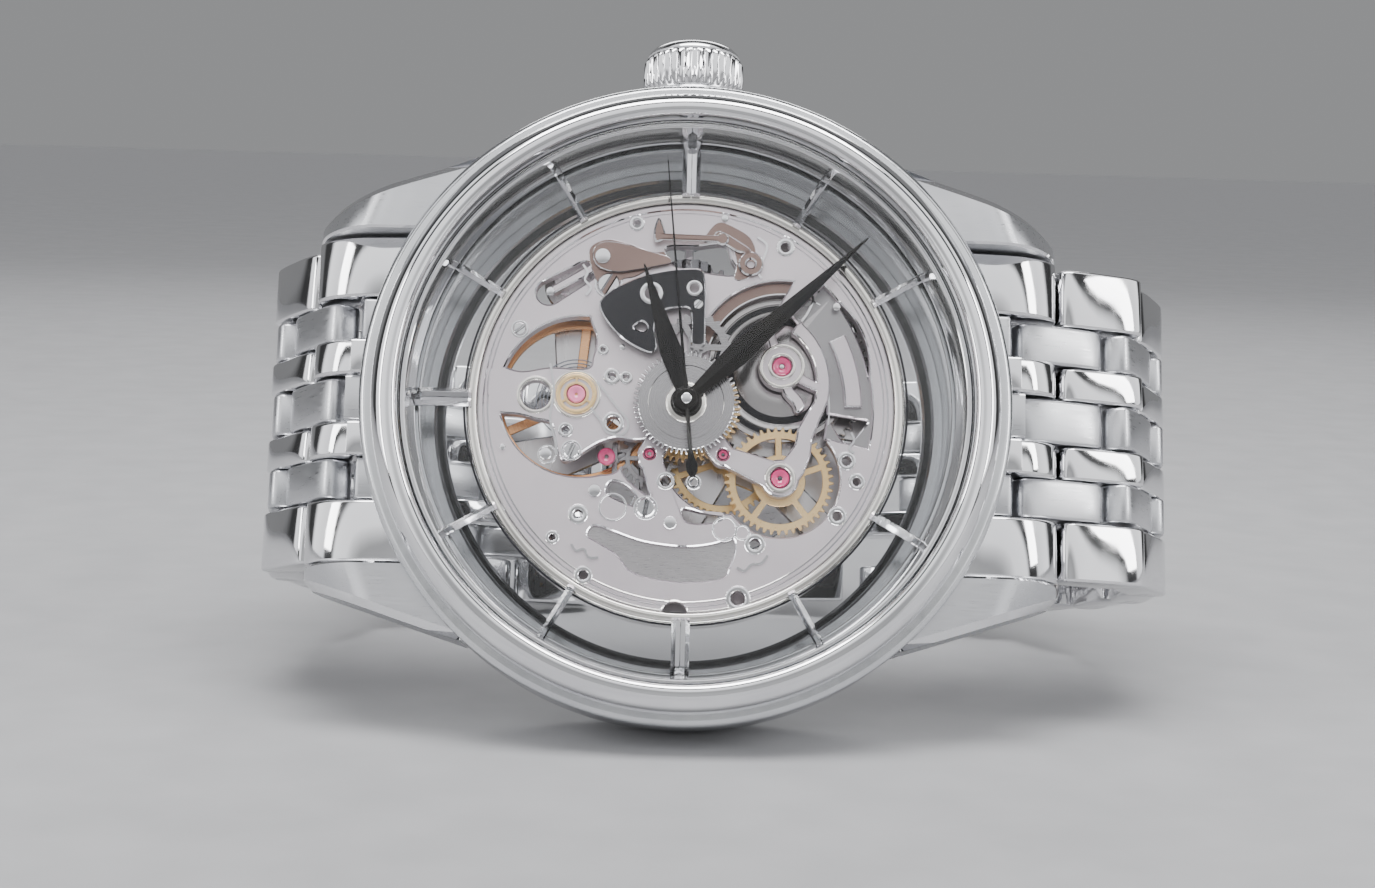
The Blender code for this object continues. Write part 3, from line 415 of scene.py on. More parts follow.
def meshing(own, mate, teeth, mate_teeth, gap=False, depth=0.25):
    """Toothed outline for a wheel and its mate's centre; a tooth, or a gap, points at the mate."""
    pitch = math.dist(own, mate) * teeth / (teeth + mate_teeth)
    root = pitch - min(depth, 0.35 * pitch)
    toward = math.degrees(math.atan2(mate[1] - own[1], mate[0] - own[0]))
    phase = toward + (180 / teeth if gap else 0)
    return gear(own, root, pitch + 0.03, teeth, phase)


def spokes(centre, inner, outer, count, width, phase=0.0):
    """The windows between a wheel's spokes, each a piece of a ring with soft corners."""
    windows = []
    for i in range(count):
        start = phase + 360 * i / count
        margin = math.degrees(width / 2 / outer)
        near = math.degrees(width / 2 / inner)
        far_side = arc(centre, outer, start + margin, start + 360 / count - margin, 14)
        windows.append(far_side + arc(centre, inner, start + 360 / count - near, start + near, 6))
    return windows


def signed_area(outline):
    pairs = zip(outline, outline[1:] + outline[:1])
    return sum(a[0] * b[1] - b[0] * a[1] for a, b in pairs) / 2


# Meshes: each function gives a bmesh in millimetres.


def layered(layers):
    """A solid whose outline changes in steps along Y. A layer is (front, back, outlines, holes in them)."""
    points = []
    faces = []
    owners = []
    for index, (_, _, solids, holes) in enumerate(layers):
        for solid, outlines in ((True, solids), (False, holes)):
            for outline in outlines:
                turned_left = outline if signed_area(outline) > 0 else outline[::-1]
                faces.append(list(range(len(points), len(points) + len(outline))))
                points += [Vector(point) for point in turned_left]
                owners.append((index, solid))
    verts, _, cells, _, _, sources = delaunay_2d_cdt(points, [], faces, 1, 1e-4)
    levels = sorted({level for layer in layers for level in layer[:2]})

    def filled(source, low, high):
        for index, layer in enumerate(layers):
            covers = layer[0] <= low and high <= layer[1]
            inside = {owners[face] for face in source}
            if covers and (index, True) in inside and (index, False) not in inside:
                return True
        return False

    spans = list(zip(levels, levels[1:]))
    columns = [[filled(source, *span) for span in spans] for source in sources]
    bm = bmesh.new()
    made = {}

    def vertex(index, level):
        if (index, level) not in made:
            x, z = verts[index]
            made[index, level] = bm.verts.new((x, levels[level], z))
        return made[index, level]

    sides = {}
    for cell, column in zip(cells, columns):
        padded = [False, *column, False]
        for level in range(len(levels)):
            if padded[level] != padded[level + 1]:
                order = cell if padded[level + 1] else cell[::-1]
                bm.faces.new([vertex(index, level) for index in order])
        for a, b in zip(cell, cell[1:] + cell[:1]):
            sides.setdefault((min(a, b), max(a, b)), []).append((a, b, column))
    for users in sides.values():
        for level in range(len(spans)):
            solid = [(a, b) for a, b, column in users if column[level]]
            if len(solid) == 1:
                a, b = solid[0]
                corners = ((b, level), (a, level), (a, level + 1), (b, level + 1))
                bm.faces.new([vertex(*corner) for corner in corners])
    bmesh.ops.dissolve_limit(
        bm, angle_limit=math.radians(0.5), verts=bm.verts, edges=bm.edges, delimit={"NORMAL"}
    )
    bmesh.ops.recalc_face_normals(bm, faces=bm.faces)
    return bm


def chamfer(bm, width, both=False, segments=1):
    """Bevels the rims of the faces turned to the dial, or of both flat sides; the bevels get finish 1."""
    bm.normal_update()
    rims = []
    for edge in bm.edges:
        if len(edge.link_faces) != 2 or not edge.is_convex:
            continue
        flat = [abs(face.normal.y) > 0.9 if both else face.normal.y < -0.9 for face in edge.link_faces]
        if flat[0] != flat[1]:
            rims.append(edge)
    bmesh.ops.bevel(
        bm, geom=rims, offset=width, offset_type="OFFSET", segments=segments, profile=0.5, affect="EDGES",
        clamp_overlap=False, material=1,
    )
    return bm


def plate(front, back, outlines, holes=(), edge=EDGE, both=False):
    """A flat piece with polished bevels round its outline and its holes."""
    return chamfer(layered([(front, back, list(outlines), list(holes))]), edge, both)


def skinned(rings, endless=False):
    """A skin over rings of points, some maybe a single point; endless joins the last ring to the first."""
    bm = bmesh.new()
    loops = [[bm.verts.new(point) for point in ring] for ring in rings]
    count = max(len(loop) for loop in loops)
    pairs = list(zip(loops, loops[1:]))
    if endless:
        pairs.append((loops[-1], loops[0]))
    for near, far in pairs:
        for i in range(count):
            j = (i + 1) % count
            corners = [near[i % len(near)], near[j % len(near)], far[j % len(far)], far[i % len(far)]]
            bm.faces.new(list(dict.fromkeys(corners)))
    for loop in (loops[0], loops[-1]):
        if len(loop) > 1 and not endless:
            bm.faces.new(loop)
    bmesh.ops.recalc_face_normals(bm, faces=bm.faces)
    return bm


def lathe(profile, count=ROUND, centre=CENTRE):
    """A solid turned about an axis along Y from (radius, y) points, closed on itself or on the axis."""
    rings = []
    for radius, y in profile:
        spots = [CENTRE] if radius == 0 else circle(CENTRE, radius, count)
        rings.append([(centre[0] + x, y, centre[1] + z) for x, z in spots])
    return skinned(rings, endless=profile[0][0] > 0)


def rod(radius, front, back, centre=CENTRE, edge=0.0, count=SMALL):
    """A turned pin or disc whose rims are rounded off by the edge."""
    profile = [(0, front), (radius, front), (radius, back), (0, back)]
    if edge:
        profile = softened(profile, edge, closed=False)
    return lathe(profile, count, centre)


def joined(parts):
    """Several meshes as one; each keeps the finish numbers of its faces."""
    whole = bmesh.new()
    for part in parts:
        spare = bpy.data.meshes.new("spare")
        part.to_mesh(spare)
        part.free()
        whole.from_mesh(spare)
        bpy.data.meshes.remove(spare)
    return whole


def finished(bm, index):
    """Gives every face one finish number."""
    for face in bm.faces:
        face.material_index = index
    return bm


def moved(bm, matrix):
    bmesh.ops.transform(bm, matrix=matrix, verts=bm.verts)
    if matrix.determinant() < 0:
        bmesh.ops.reverse_faces(bm, faces=bm.faces)
    return bm


def shift(x=0.0, y=0.0, z=0.0):
    return Matrix.Translation((x, y, z))


def ribbon(centreline, half, front, back):
    """A thin strip on edge, following an open line of (x, z) points."""
    left = []
    right = []
    for i, point in enumerate(centreline):
        before = Vector(centreline[max(i - 1, 0)])
        after = Vector(centreline[min(i + 1, len(centreline) - 1)])
        along = (after - before).normalized()
        left.append((point[0] - along.y * half, point[1] + along.x * half))
        right.append((point[0] + along.y * half, point[1] - along.x * half))
    return layered([(front, back, [left + right[::-1]], [])])


def spiral(centre, inner, outer, turns, per_turn):
    count = int(turns * per_turn)
    points = []
    for i in range(count + 1):
        radius = inner + (outer - inner) * i / count
        points.append(polar(centre, radius, 2 * math.pi * i / per_turn))
    return points


def domed_profile(start, end, half, inset):
    """Side outline of a bracelet piece: a superellipse, full on its outer side and flatter on its inner."""
    count = 40
    middle = (start + end) / 2
    reach = (end - start) / 2 - inset
    points = []
    for i in range(count):
        turn = 2 * math.pi * (i + 0.5) / count
        power = 2 / 2.2 if math.sin(turn) < 0 else 2 / 6.0
        x = math.copysign(abs(math.cos(turn)) ** (2 / 3.2), math.cos(turn))
        y = math.copysign(abs(math.sin(turn)) ** power, math.sin(turn))
        points.append((middle + reach * x, (half - inset) * y))
    return points


def rounded_prism(outline_at, low, high, edge=0.2):
    """A shape drawn out along Z, its two ends rounded; outline_at gives its (x, y) outline at an inset."""
    rounding = ((0.0, 1.0), (0.08, 0.62), (0.38, 0.22), (1.0, 0.0))
    stations = [(low + depth * edge, inset * edge) for depth, inset in rounding]
    stations += [(high - depth * edge, inset * edge) for depth, inset in reversed(rounding)]
    return skinned([[(x, y, z) for x, y in outline_at(inset)] for z, inset in stations])


def screw(centre, radius, front, depth=0.3, tilt=30.0):
    """A round-edged screw head with a slot."""
    slot_half = 0.16 * radius
    reach = 1.2 * radius
    turn = Matrix.Rotation(math.radians(tilt), 2)
    corners = ((-reach, -slot_half), (reach, -slot_half), (reach, slot_half), (-reach, slot_half))
    slot = [tuple(Vector(centre) + turn @ Vector(corner)) for corner in corners]
    head = circle(centre, radius)
    floor = front + 0.4 * depth
    solid = layered([(front, floor, [head], [slot]), (floor, front + depth, [head], [])])
    return chamfer(solid, 0.14 * radius)


def collar(centre, inner, outer, front, back):
    """A small turned ring with round edges, as set round a hole or a jewel."""
    profile = ((inner, back), (inner, front), (outer, front), (outer, back))
    return lathe(softened(profile, 0.35 * (outer - inner)), SMALL, centre)


def piece(name, bm, body, finishes, replaces=(), place=Matrix(), smooth=32):
    """Makes a mesh in millimetres into a piece that rides on a body, in the watch's frame."""
    bmesh.ops.scale(bm, vec=(MM, MM, MM), verts=bm.verts)
    mesh = bpy.data.meshes.new(name)
    bm.to_mesh(mesh)
    bm.free()
    mesh.shade_smooth()
    mesh.set_sharp_from_angle(angle=math.radians(smooth))
    for finish in finishes:
        mesh.materials.append(finish)
    obj = bpy.data.objects.new(name, mesh)
    bpy.context.scene.collection.objects.link(obj)
    local = place.copy()
    local.translation = local.translation * MM
    obj.matrix_world = WATCH @ local
    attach(obj, body)
    if replaces:
        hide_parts(*replaces)
    return obj


# Case, bezel, lugs and glass.


def make_case():
    ring = [
        (SEAT_R, CASE_FRONT), (CASE_R - 0.3, CASE_FRONT), (CASE_R, CASE_FRONT + 0.3), (CASE_R, 3.4),
        (CASE_R - 0.7, CASE_BACK), (LEDGE_R, CASE_BACK), (LEDGE_R, 0.6), (SEAT_R, 0.6),
    ]
    body = finished(lathe(softened(ring, 0.16), FINE), 0)
    lugs = [make_lug(mirror_x, mirror_z) for mirror_x in (1, -1) for mirror_z in (1, -1)]
    piece("case_shell", joined([body, *lugs]), "case", [CASE_SATIN, BRUSHED, POLISHED], ["case_middle"])
    bezel = [
        (SEAT_R + 0.02, -3.7), (SEAT_R + 0.12, -3.95), (SEAT_R + 0.45, -4.1), (SEAT_R + 0.95, -4.02),
        (BEZEL_R - 0.4, -3.66), (BEZEL_R - 0.12, -3.15), (BEZEL_R, CASE_FRONT - 0.04),
    ]
    dome = [(SEAT_R + 0.02, CASE_FRONT - 0.04), *smooth_line(bezel, 5, closed=False)]
    piece("bezel_dome", lathe(dome, FINE), "case", [POLISHED], ["bezel"], smooth=50)
    dome = [(0, CRYSTAL_TOP)]
    dome += [(r, CRYSTAL_TOP + 0.75 * (r / 16.9) ** 2) for r in (4, 8, 12, 15, 16.5)]
    dome += [(17.2, -3.75), (CRYSTAL_R - 0.1, -3.6), (CRYSTAL_R, -3.45), (CRYSTAL_R, -2.62)]
    dome += [(12.0, -2.85), (6.0, -3.0), (0, -3.05)]
    piece("crystal_dome", lathe(dome, FINE), "case", [CRYSTAL], ["crystal"])


def inset_loop(points, amount):
    """A closed loop of points pulled inwards."""
    inward = 1 if signed_area(points) > 0 else -1
    made = []
    for i, point in enumerate(points):
        along = (Vector(points[(i + 1) % len(points)]) - Vector(points[i - 1])).normalized()
        made.append((point[0] - inward * along.y * amount, point[1] + inward * along.x * amount))
    return made


def make_lug(mirror_x, mirror_z):
    """One lug: brushed front, a wide polished bevel on its outer edge and a narrow one on its inner edge."""
    root, inner_root, tip = 12.9, 15.2, 23.9
    front = [
        (root, -1.75), (15.5, -1.75), (17.6, -1.74), (19.4, -1.6), (21.2, -0.75), (22.6, 0.6), (23.5, 2.1),
        (tip, 3.6), (23.85, 4.8), (23.2, 5.8), (22.2, 5.8), (21.0, 5.2), (19.6, 4.5), (17.0, 4.3),
        (root, 4.3),
    ]
    side = smooth_line(front, 4, closed=False)
    inner_z = LUG_GAP / 2 + GAP
    stations = ((0.0, 0.14, 0.0), (0.0, 0.0, 0.14), (1.0, 0.0, -0.5), (1.0, 0.55, 0.0))
    rings = []
    for outside, inset, offset in stations:
        ring = []
        for x, y in inset_loop(side, inset):
            share = (x - root) / (tip - root)
            # The outer side draws in towards the tip, and the inner side starts further out.
            shown_x = x if outside else inner_root + share * (tip - inner_root)
            outer_z = 15.45 - 0.30 * (x - root) - 0.35 * share * share
            ring.append((shown_x, y, (outer_z if outside else inner_z) + offset))
        rings.append(ring)
    lug = skinned(rings)
    for number, face in enumerate(lug.faces):
        is_bevel = number // len(side) in (0, 2)
        face.material_index = 2 if is_bevel else 1
    return moved(lug, Matrix.Diagonal((mirror_x, 1, mirror_z, 1)))


def make_case_back():
    notches = [circle(polar(CENTRE, 17.5, math.radians(turn)), 0.6, 24) for turn in range(30, 390, 60)]
    step = 5.7
    rim = layered(
        [
            (CASE_BACK + 0.03, step, [circle(CENTRE, BACK_R, FINE)], [circle(CENTRE, 16.1, FINE)]),
            (step, BACK_FACE, [circle(CENTRE, BACK_R - 0.35, FINE)], [circle(CENTRE, 15.6, FINE), *notches]),
        ]
    )
    piece("back_ring", chamfer(rim, 0.16, both=True), "case", [CASE_SATIN, POLISHED], ["case_back"])
    pane = [(0, 5.0), (16.05, 5.0), (16.05, 5.8), (15.9, 5.9), (0, 5.9)]
    piece("back_window", lathe(pane, FINE), "case", [CRYSTAL], ["case_back_glass"])


def hand_turn(angle):
    """Turns what is drawn along +X to an angle clockwise from 12 o'clock, in degrees."""
    return Matrix.Rotation(math.radians(180 + angle), 4, "Y")


def ridge(near, far, half, offset, base, crest):
    """A roof-shaped bar along +X from near to far, its ridge towards the crystal and its near end sloped."""
    shoulder = base + 0.45 * (crest - base)
    section = ((-half, base), (-half, shoulder), (0, crest), (half, shoulder), (half, base))
    rings = []
    for x, drop in ((near, 0.12), (near + 0.15, 0.0), (far, 0.0)):
        rings.append([(x, y + (drop if y < base else 0), offset + z) for z, y in section])
    return skinned(rings)


def make_hour_ring():
    """Flange with eleven faceted batons, doubled at 3, 9 and 12, each held by a bright pin at the flange."""
    outer = SEAT_R - 0.07
    foot = -0.3
    profile = [
        (outer, CASE_FRONT), (outer, foot), (FLANGE_R, foot), (FLANGE_R + 0.1, -0.75),
        (FLANGE_R + 0.42, CASE_FRONT),
    ]
    parts = [lathe(softened(profile, 0.1), FINE)]
    for hour in (1, 2, 3, 4, 5, 7, 8, 9, 10, 11, 12):
        turn = hand_turn(30 * hour)
        offsets = (-0.29, 0.29) if hour in (3, 9, 12) else (0.0,)
        half = 0.27 if len(offsets) == 2 else 0.26
        for offset in offsets:
            parts.append(moved(ridge(MOVEMENT_R - 0.35, FLANGE_R + 0.25, half, offset, foot, -0.86), turn))
        pin = ridge(FLANGE_R - 0.5, FLANGE_R + 0.35, 0.17 * len(offsets), 0.0, foot, -1.35)
        parts.append(moved(pin, turn))
    piece("flange_and_batons", joined(parts), "case", [POLISHED], ["hour_marker_ring"], smooth=20)


def make_dial_ring():
    pane = [(MOVEMENT_R + GAP, -0.25), (SEAT_R - GAP, -0.25), (SEAT_R - GAP, 0.55), (MOVEMENT_R + GAP, 0.55)]
    piece("clear_ring_pane", lathe(softened(pane, 0.12), FINE), "case", [CLEAR], ["clear_dial_ring"])
    rim = [
        (PLATE_R + 0.04, 0.1), (PLATE_R + 0.06, -0.18), (PLATE_R + 0.22, -0.24), (MOVEMENT_R - 0.3, -0.24),
        (MOVEMENT_R - 0.12, -0.18), (MOVEMENT_R, -0.02), (MOVEMENT_R, 3.3), (PLATE_R + 0.04, 3.3),
    ]
    piece("rim_ring", lathe(softened(rim, 0.08), FINE), "case", [RIM_STEEL], ["movement_rim"])
    low, high = MOVEMENT_R + 0.02, MOVEMENT_R + 0.16
    gasket = [(low, -0.28), (low, -0.34), (high, -0.34), (high, -0.28)]
    piece("rim_gasket", lathe(softened(gasket, 0.02), FINE), "case", [BLACK])


# Hands and motion work.


def faceted_hand(stations, front, back, hub, bore):
    """A hand along +X with a central ridge: stations are (x, half width), and the hub is a turned disc."""
    edge_y = front + 0.6 * (back - front)
    rings = []
    for x, half in stations:
        section = ((-half, edge_y), (0, front), (half, edge_y), (half, back), (-half, back))
        rings.append([(x, y, z) for z, y in section])
    profile = [(bore, back), (bore, front), (hub - 0.1, front), (hub, front + 0.1), (hub, back)]
    return joined([skinned(rings), lathe(softened(profile, 0.05), SMALL)])


def make_hands():
    """The hands, each turned to its time in the photograph; the seconds hand carries a cap and its pipe."""
    hour = faceted_hand([(0.6, 0.40), (3.4, 0.70), (9.2, 0.05)], -1.27, -1.05, hub=1.0, bore=0.62)
    minute = faceted_hand([(0.5, 0.36), (4.3, 0.76), (15.5, 0.05)], -1.77, -1.55, hub=0.9, bore=0.42)
    needle = [
        (-4.9, 0.16), (-4.6, 0.34), (-4.1, 0.36), (-3.7, 0.2), (-3.2, 0.13), (0, 0.11), (8.0, 0.07),
        (15.4, 0.035),
    ]
    seconds = moved(faceted_hand(needle, -2.2, -2.06, hub=0.72, bore=0.2), hand_turn(84.3))
    for name, blade, angle in (("hour_hand", hour, 72.0), ("minute_hand", minute, 136.3)):
        blade = moved(blade, hand_turn(angle))
        piece(f"{name}_blade", blade, name, [HAND_BLACK], [name], smooth=15)
    dome = [(0, -2.3), (0.3, -2.3), (0.36, -2.2), (0.36, -2.0), (0, -2.0)]
    cap = lathe(softened(dome, 0.05, closed=False), SMALL)
    pipe = lathe([(0, -2.1), (0.3, -2.1), (0.3, -1.3), (0.2, -1.3), (0.2, 0.9), (0, 0.9)], STAFF)
    whole = joined([finished(seconds, 0), finished(cap, 1), finished(pipe, 1)])
    piece("seconds_hand_blade", whole, "seconds_hand", [HAND_BLACK, POLISHED], ["seconds_hand"], smooth=15)


def make_motion_work():
    teeth = meshing(CENTRE, MOTION, 64, 8)
    bore = circle(CENTRE, 0.5)
    wheel = layered(
        [
            (-0.9, -0.8, [teeth], [circle(CENTRE, 2.35, ROUND)]),
            (-0.84, -0.62, [teeth], [bore]),
            (-1.25, -0.8, [circle(CENTRE, 0.6)], [bore]),
        ]
    )
    piece("hour_wheel_disc", chamfer(wheel, 0.035), "hour_hand", [GREY, POLISHED], ["hour_wheel"])
    shoulder = [(0.62, -0.84), (0.62, -1.05), (1.2, -1.0), (1.3, -0.9), (1.3, -0.84)]
    piece("hour_wheel_boss", lathe(softened(shoulder, 0.05), ROUND), "hour_hand", [RIM_STEEL])


# Plate, bridges, jewels and screws.


# Holes through the plate, each with its bore's radius and its eyelet's.
HOLES = (
    ((10.8, -4.6), 0.26, 0.55), ((9.6, -6.8), 0.3, 0.62), ((10.15, -3.3), 0.3, 0.6),
    ((4.5, -8.7), 0.34, 0.68), ((3.5, -12.1), 0.45, 0.8), ((0.6, -4.9), 0.25, 0.5),
    ((-4.54, -1.27), 0.42, 0.72), ((-7.5, -1.8), 0.25, 0.5), ((-1.16, -4.87), 0.35, 0.58),
    ((-6.55, -7.1), 0.28, 0.65), ((-6.1, -10.9), 0.3, 0.58), ((6.1, 10.4), 0.3, 0.6),
    ((-8.1, -8.6), 0.2, 0.45), ((-4.7, 1.7), 0.24, 0.55), ((-3.8, 1.65), 0.2, 0.42),
    ((-3.4, 11.7), 0.25, 0.5), ((-5.3, 3.4), 0.16, 0.36),
)
# Polished pins standing in the plate, with their radii.
PINS = (
    ((-8.7, -3.35), 0.4), ((-5.56, -5.6), 0.42), ((-0.8, -7.5), 0.42), ((-8.75, 7.1), 0.28),
    ((-11.4, -3.0), 0.2), ((2.2, 12.2), 0.25), ((-4.1, 3.6), 0.2), ((9.4, 6.6), 0.25),
)
# Screws, with their heads' radii and how far each slot is turned.
SCREWS = (
    ((-7.1, -3.1), 0.5, 70.0), ((-2.35, -6.6), 0.6, 80.0), ((-5.08, 7.65), 0.74, 60.0),
    ((-10.6, 4.6), 0.4, 40.0),
)
# The plate's engraved ornament, as thin raised lines.
SCROLLS = (
    ((4.3, 11.0), (4.9, 10.5), (4.7, 9.6), (4.3, 8.9), (4.6, 8.3)),
    ((-8.6, 2.4), (-8.3, 0.6), (-8.5, -1.0), (-8.1, -2.6), (-8.0, -3.4)),
    ((-6.1, -0.2), (-5.3, -1.2), (-4.9, -1.9), (-3.9, -2.0), (-3.6, -1.2), (-4.3, -0.3), (-5.6, 1.3)),
    ((-6.9, -9.0), (-6.6, -9.4), (-6.1, -9.3), (-5.8, -9.8), (-5.2, -9.8)),
    ((3.4, -10.2), (3.9, -10.4), (4.3, -10.0), (4.9, -9.9), (5.3, -9.4)),
    ((10.4, -1.5), (10.6, -2.0), (10.3, -2.5), (10.6, -2.8)),
    ((-6.75, 8.9), (-6.45, 8.4), (-6.6, 7.9), (-6.2, 7.4), (-6.5, 6.9)),
    ((7.2, 5.6), (7.6, 6.2), (7.9, 7.1), (7.4, 7.6)),
)
# Round marks on the plate, with their radii.
RINGED_SPOTS = (((2.6, -7.8), 0.8), ((3.7, -8.0), 0.5), ((-8.6, -3.4), 0.62), ((-4.4, -6.6), 0.9))


def s_arm():
    """The long curved arm that runs round the barrel and down to the great wheel's jewel."""
    outside = arc((4.0, 1.6), 5.05, 52, -14, 16) + [(8.0, -1.9), (7.9, -3.0), (7.0, -4.9)]
    inside = [(5.6, -4.4), (6.9, -2.3), (7.05, -1.3)] + arc((4.0, 1.6), 4.2, -16, 52, 16)
    return smooth_line(outside + inside, 2)


def plate_windows():
    """Openings right through the plate."""
    pallet = [
        (-6.5, -3.4), (-5.9, -2.5), (-4.9, -2.3), (-4.1, -2.5), (-3.9, -3.3), (-4.2, -4.3), (-5.4, -4.5),
    ]
    escape = [
        (-3.5, -2.5), (-2.7, -2.7), (-2.9, -3.7), (-2.2, -4.6), (-1.9, -5.9), (-3.1, -5.2), (-3.9, -4.2),
    ]
    spring = [(-4.6, -5.0), (-3.8, -5.1), (-3.0, -5.8), (-2.9, -6.5), (-3.9, -6.2), (-4.8, -5.7)]
    foot = [(0.0, -6.6), (1.2, -6.8), (2.4, -6.9), (2.2, -7.3), (0.9, -7.5), (0.1, -7.3)]
    stem = [(-0.5, 8.9), (2.9, 8.5), (2.6, 9.6), (2.2, 10.5), (0.4, 10.3), (-1.4, 10.2), (-1.3, 9.4)]
    return [
        circle((-6.6, 0.4), 5.15, ROUND),
        circle(BARREL, 5.55, ROUND),
        circle(GREAT, 3.75, ROUND),
        circle(THIRD, 3.75, ROUND),
        *(smooth_line(outline, 5) for outline in (pallet, escape, spring, foot, stem)),
        bar((-8.85, 7.05), (-6.6, 8.45), 1.6, 1.3),
        softened([(8.7, -0.2), (11.6, -0.6), (10.2, -2.3)], 0.3),
        circle((-0.4, -13.2), 0.8),
        band(CENTRE, 9.35, 9.7, 2, 16, 12),
    ]


def plate_arms():
    """What crosses the windows at the plate's full height."""
    balance = [
        (-12.3, 2.1), (-10.4, 1.9), (-8.6, 2.2), (-6.3, 2.2), (-5.95, 2.9), (-5.75, 4.2), (-6.1, 6.2),
        (-2.2, 5.8), (-0.9, 2.4), (-1.2, -1.6), (-2.8, -2.3), (-4.3, -2.2), (-5.5, -2.6), (-7.3, -3.75),
        (-7.95, -3.3), (-8.35, -1.5), (-9.4, -1.15), (-10.4, -0.9), (-12.3, -0.5),
    ]
    return [
        circle(CENTRE, 2.6, ROUND),
        smooth_line(balance, 5),
        bar(CENTRE, ESCAPE, 1.8, 1.5),
        bar(ESCAPE, (-0.8, -7.5), 1.3, 1.7),
        bar(CENTRE, THIRD, 1.6, 1.5),
        bar(THIRD, GREAT, 1.2, 1.9),
        circle(GREAT, 1.2, ROUND),
        s_arm(),
        circle(BARREL, 1.45, ROUND),
        bar((5.6, 3.5), (5.2, 5.0), 0.6, 0.5),
        bar((5.2, 5.0), (7.6, 8.4), 0.5, 1.5),
        bar((6.9, 2.0), (8.5, 1.3), 0.6),
        smooth_line([(6.2, 1.6), (7.0, 1.0), (7.5, 0.2), (7.0, -0.3), (6.7, 0.3), (6.1, 1.0)], 5),
        bar(CENTRE, MOTION, 2.2, 1.7),
        bar(MOTION, (-2.5, 6.4), 1.7, 2.4),
        bar((-8.5, 7.3), (-6.0, 8.8), 0.5, 0.6),
    ]


# The large eyelet next to the balance's jewel.
BALANCE_EYELET = (-9.45, 0.4)


def make_main_plate():
    windows = plate_windows()
    stem_window = windows[10]
    bores = [circle(centre, radius) for centre, radius, _ in HOLES]
    bores += [circle(centre, 0.62) for centre in (BALANCE, BARREL, GREAT)]
    bores += [circle(centre, 0.34) for centre in (CENTRE, THIRD, ESCAPE, MOTION)]
    bores.append(circle(BALANCE_EYELET, 0.95, ROUND))
    recess_outline = [
        (-5.5, -7.8), (-4.3, -8.15), (-2.4, -8.75), (0.0, -9.0), (1.8, -8.8), (3.05, -8.4), (3.25, -9.0),
        (2.9, -10.2), (2.3, -10.95), (-0.4, -11.15), (-3.0, -10.65), (-4.0, -9.6), (-5.1, -8.9),
        (-5.9, -8.4),
    ]
    recess = smooth_line(recess_outline, 5)
    shelf = band(CENTRE, 8.9, 11.75, -12, 43, 40)
    pad = band(CENTRE, 10.0, 11.1, 1, 26, 24)
    line = [circle(CENTRE, 12.66, FINE)]
    inner = [circle(CENTRE, 12.5, FINE)]
    disc = [circle(CENTRE, PLATE_R, FINE)]
    line_floor, recess_floor, shelf_floor = 0.08, 0.3, 0.5
    solid = layered(
        [
            (0.0, line_floor, disc, [*windows, *bores, recess, shelf, *line]),
            (0.0, line_floor, inner, [*windows, *bores, recess, shelf]),
            (line_floor, recess_floor, disc, [*windows, *bores, recess, shelf]),
            (recess_floor, shelf_floor, disc, [*windows, *bores, shelf]),
            (shelf_floor, PLATE_BACK, disc, [*windows, *bores]),
            (shelf_floor, PLATE_BACK, [shelf], [stem_window, *bores]),
            (0.1, shelf_floor, [pad], []),
            (0.0, PLATE_BACK, plate_arms(), bores),
        ]
    )
    chamfer(solid, EDGE)
    # Floors sunk below the plate's face: the shelf lies towards 6 o'clock, the others are the recess.
    for face in solid.faces:
        middle = face.calc_center_median()
        if face.material_index == 0 and face.normal.y < -0.9 and middle.y > 0.15:
            face.material_index = 3 if middle.x > 8 else 2
    piece("plate_openwork", solid, "case", [FROSTED, POLISHED, RECESS, SHELF], ["main_plate"])


def make_plate_fittings():
    rings = [collar(centre, inner, outer, -0.09, 0.2) for centre, inner, outer in HOLES]
    rings += [collar(centre, radius - 0.13, radius, -0.06, 0.1) for centre, radius in RINGED_SPOTS]
    rings += [collar(centre, radius + 0.03, radius + 0.17, -0.05, 0.1) for centre, radius, _ in SCREWS]
    pins = [rod(radius, -0.14, 0.2, centre, edge=0.1) for centre, radius in PINS]
    heads = [screw(centre, radius, -0.16, 0.36, tilt) for centre, radius, tilt in SCREWS]
    fittings = joined([*rings, *pins, *heads])
    piece("plate_screws_and_rings", finished(fittings, 0), "case", [POLISHED])
    eyelets = [
        collar(BALANCE_EYELET, 0.95, 1.22, -0.07, 0.2),
        collar(BARREL, 1.22, 1.45, -0.12, 0.1),
        collar(GREAT, 0.66, 0.98, -0.12, 0.1),
        collar(BARREL, 0.66, 0.88, -0.1, 0.1),
        collar(BALANCE, 1.36, 1.55, -0.1, 0.1),
    ]
    piece("plate_eyelets", joined(eyelets), "case", [RIM_STEEL])
    lining = layered([(0.55, 0.62, [band(BARREL, 4.85, 5.5, 62, 225, 40)], [])])
    piece("barrel_lining", lining, "case", [BROWN])
    lips = [band(BARREL, 4.76, 4.84, 60, 230, 40), band(CENTRE, 9.0, 9.1, -6, 22, 24)]
    lip = layered([(0.44, 0.6, lips, [])])
    piece("barrel_lip", lip, "case", [POLISHED])


def jewel(centre, radius, front, back, hole=0.16):
    """A watch jewel: a domed ring of ruby with an oil cup round its hole."""
    profile = [
        (hole, back), (hole, front + 0.12), (0.55 * radius, front + 0.02), (0.85 * radius, front),
        (radius, front + 0.08), (radius, back),
    ]
    return lathe(profile, SMALL, centre)


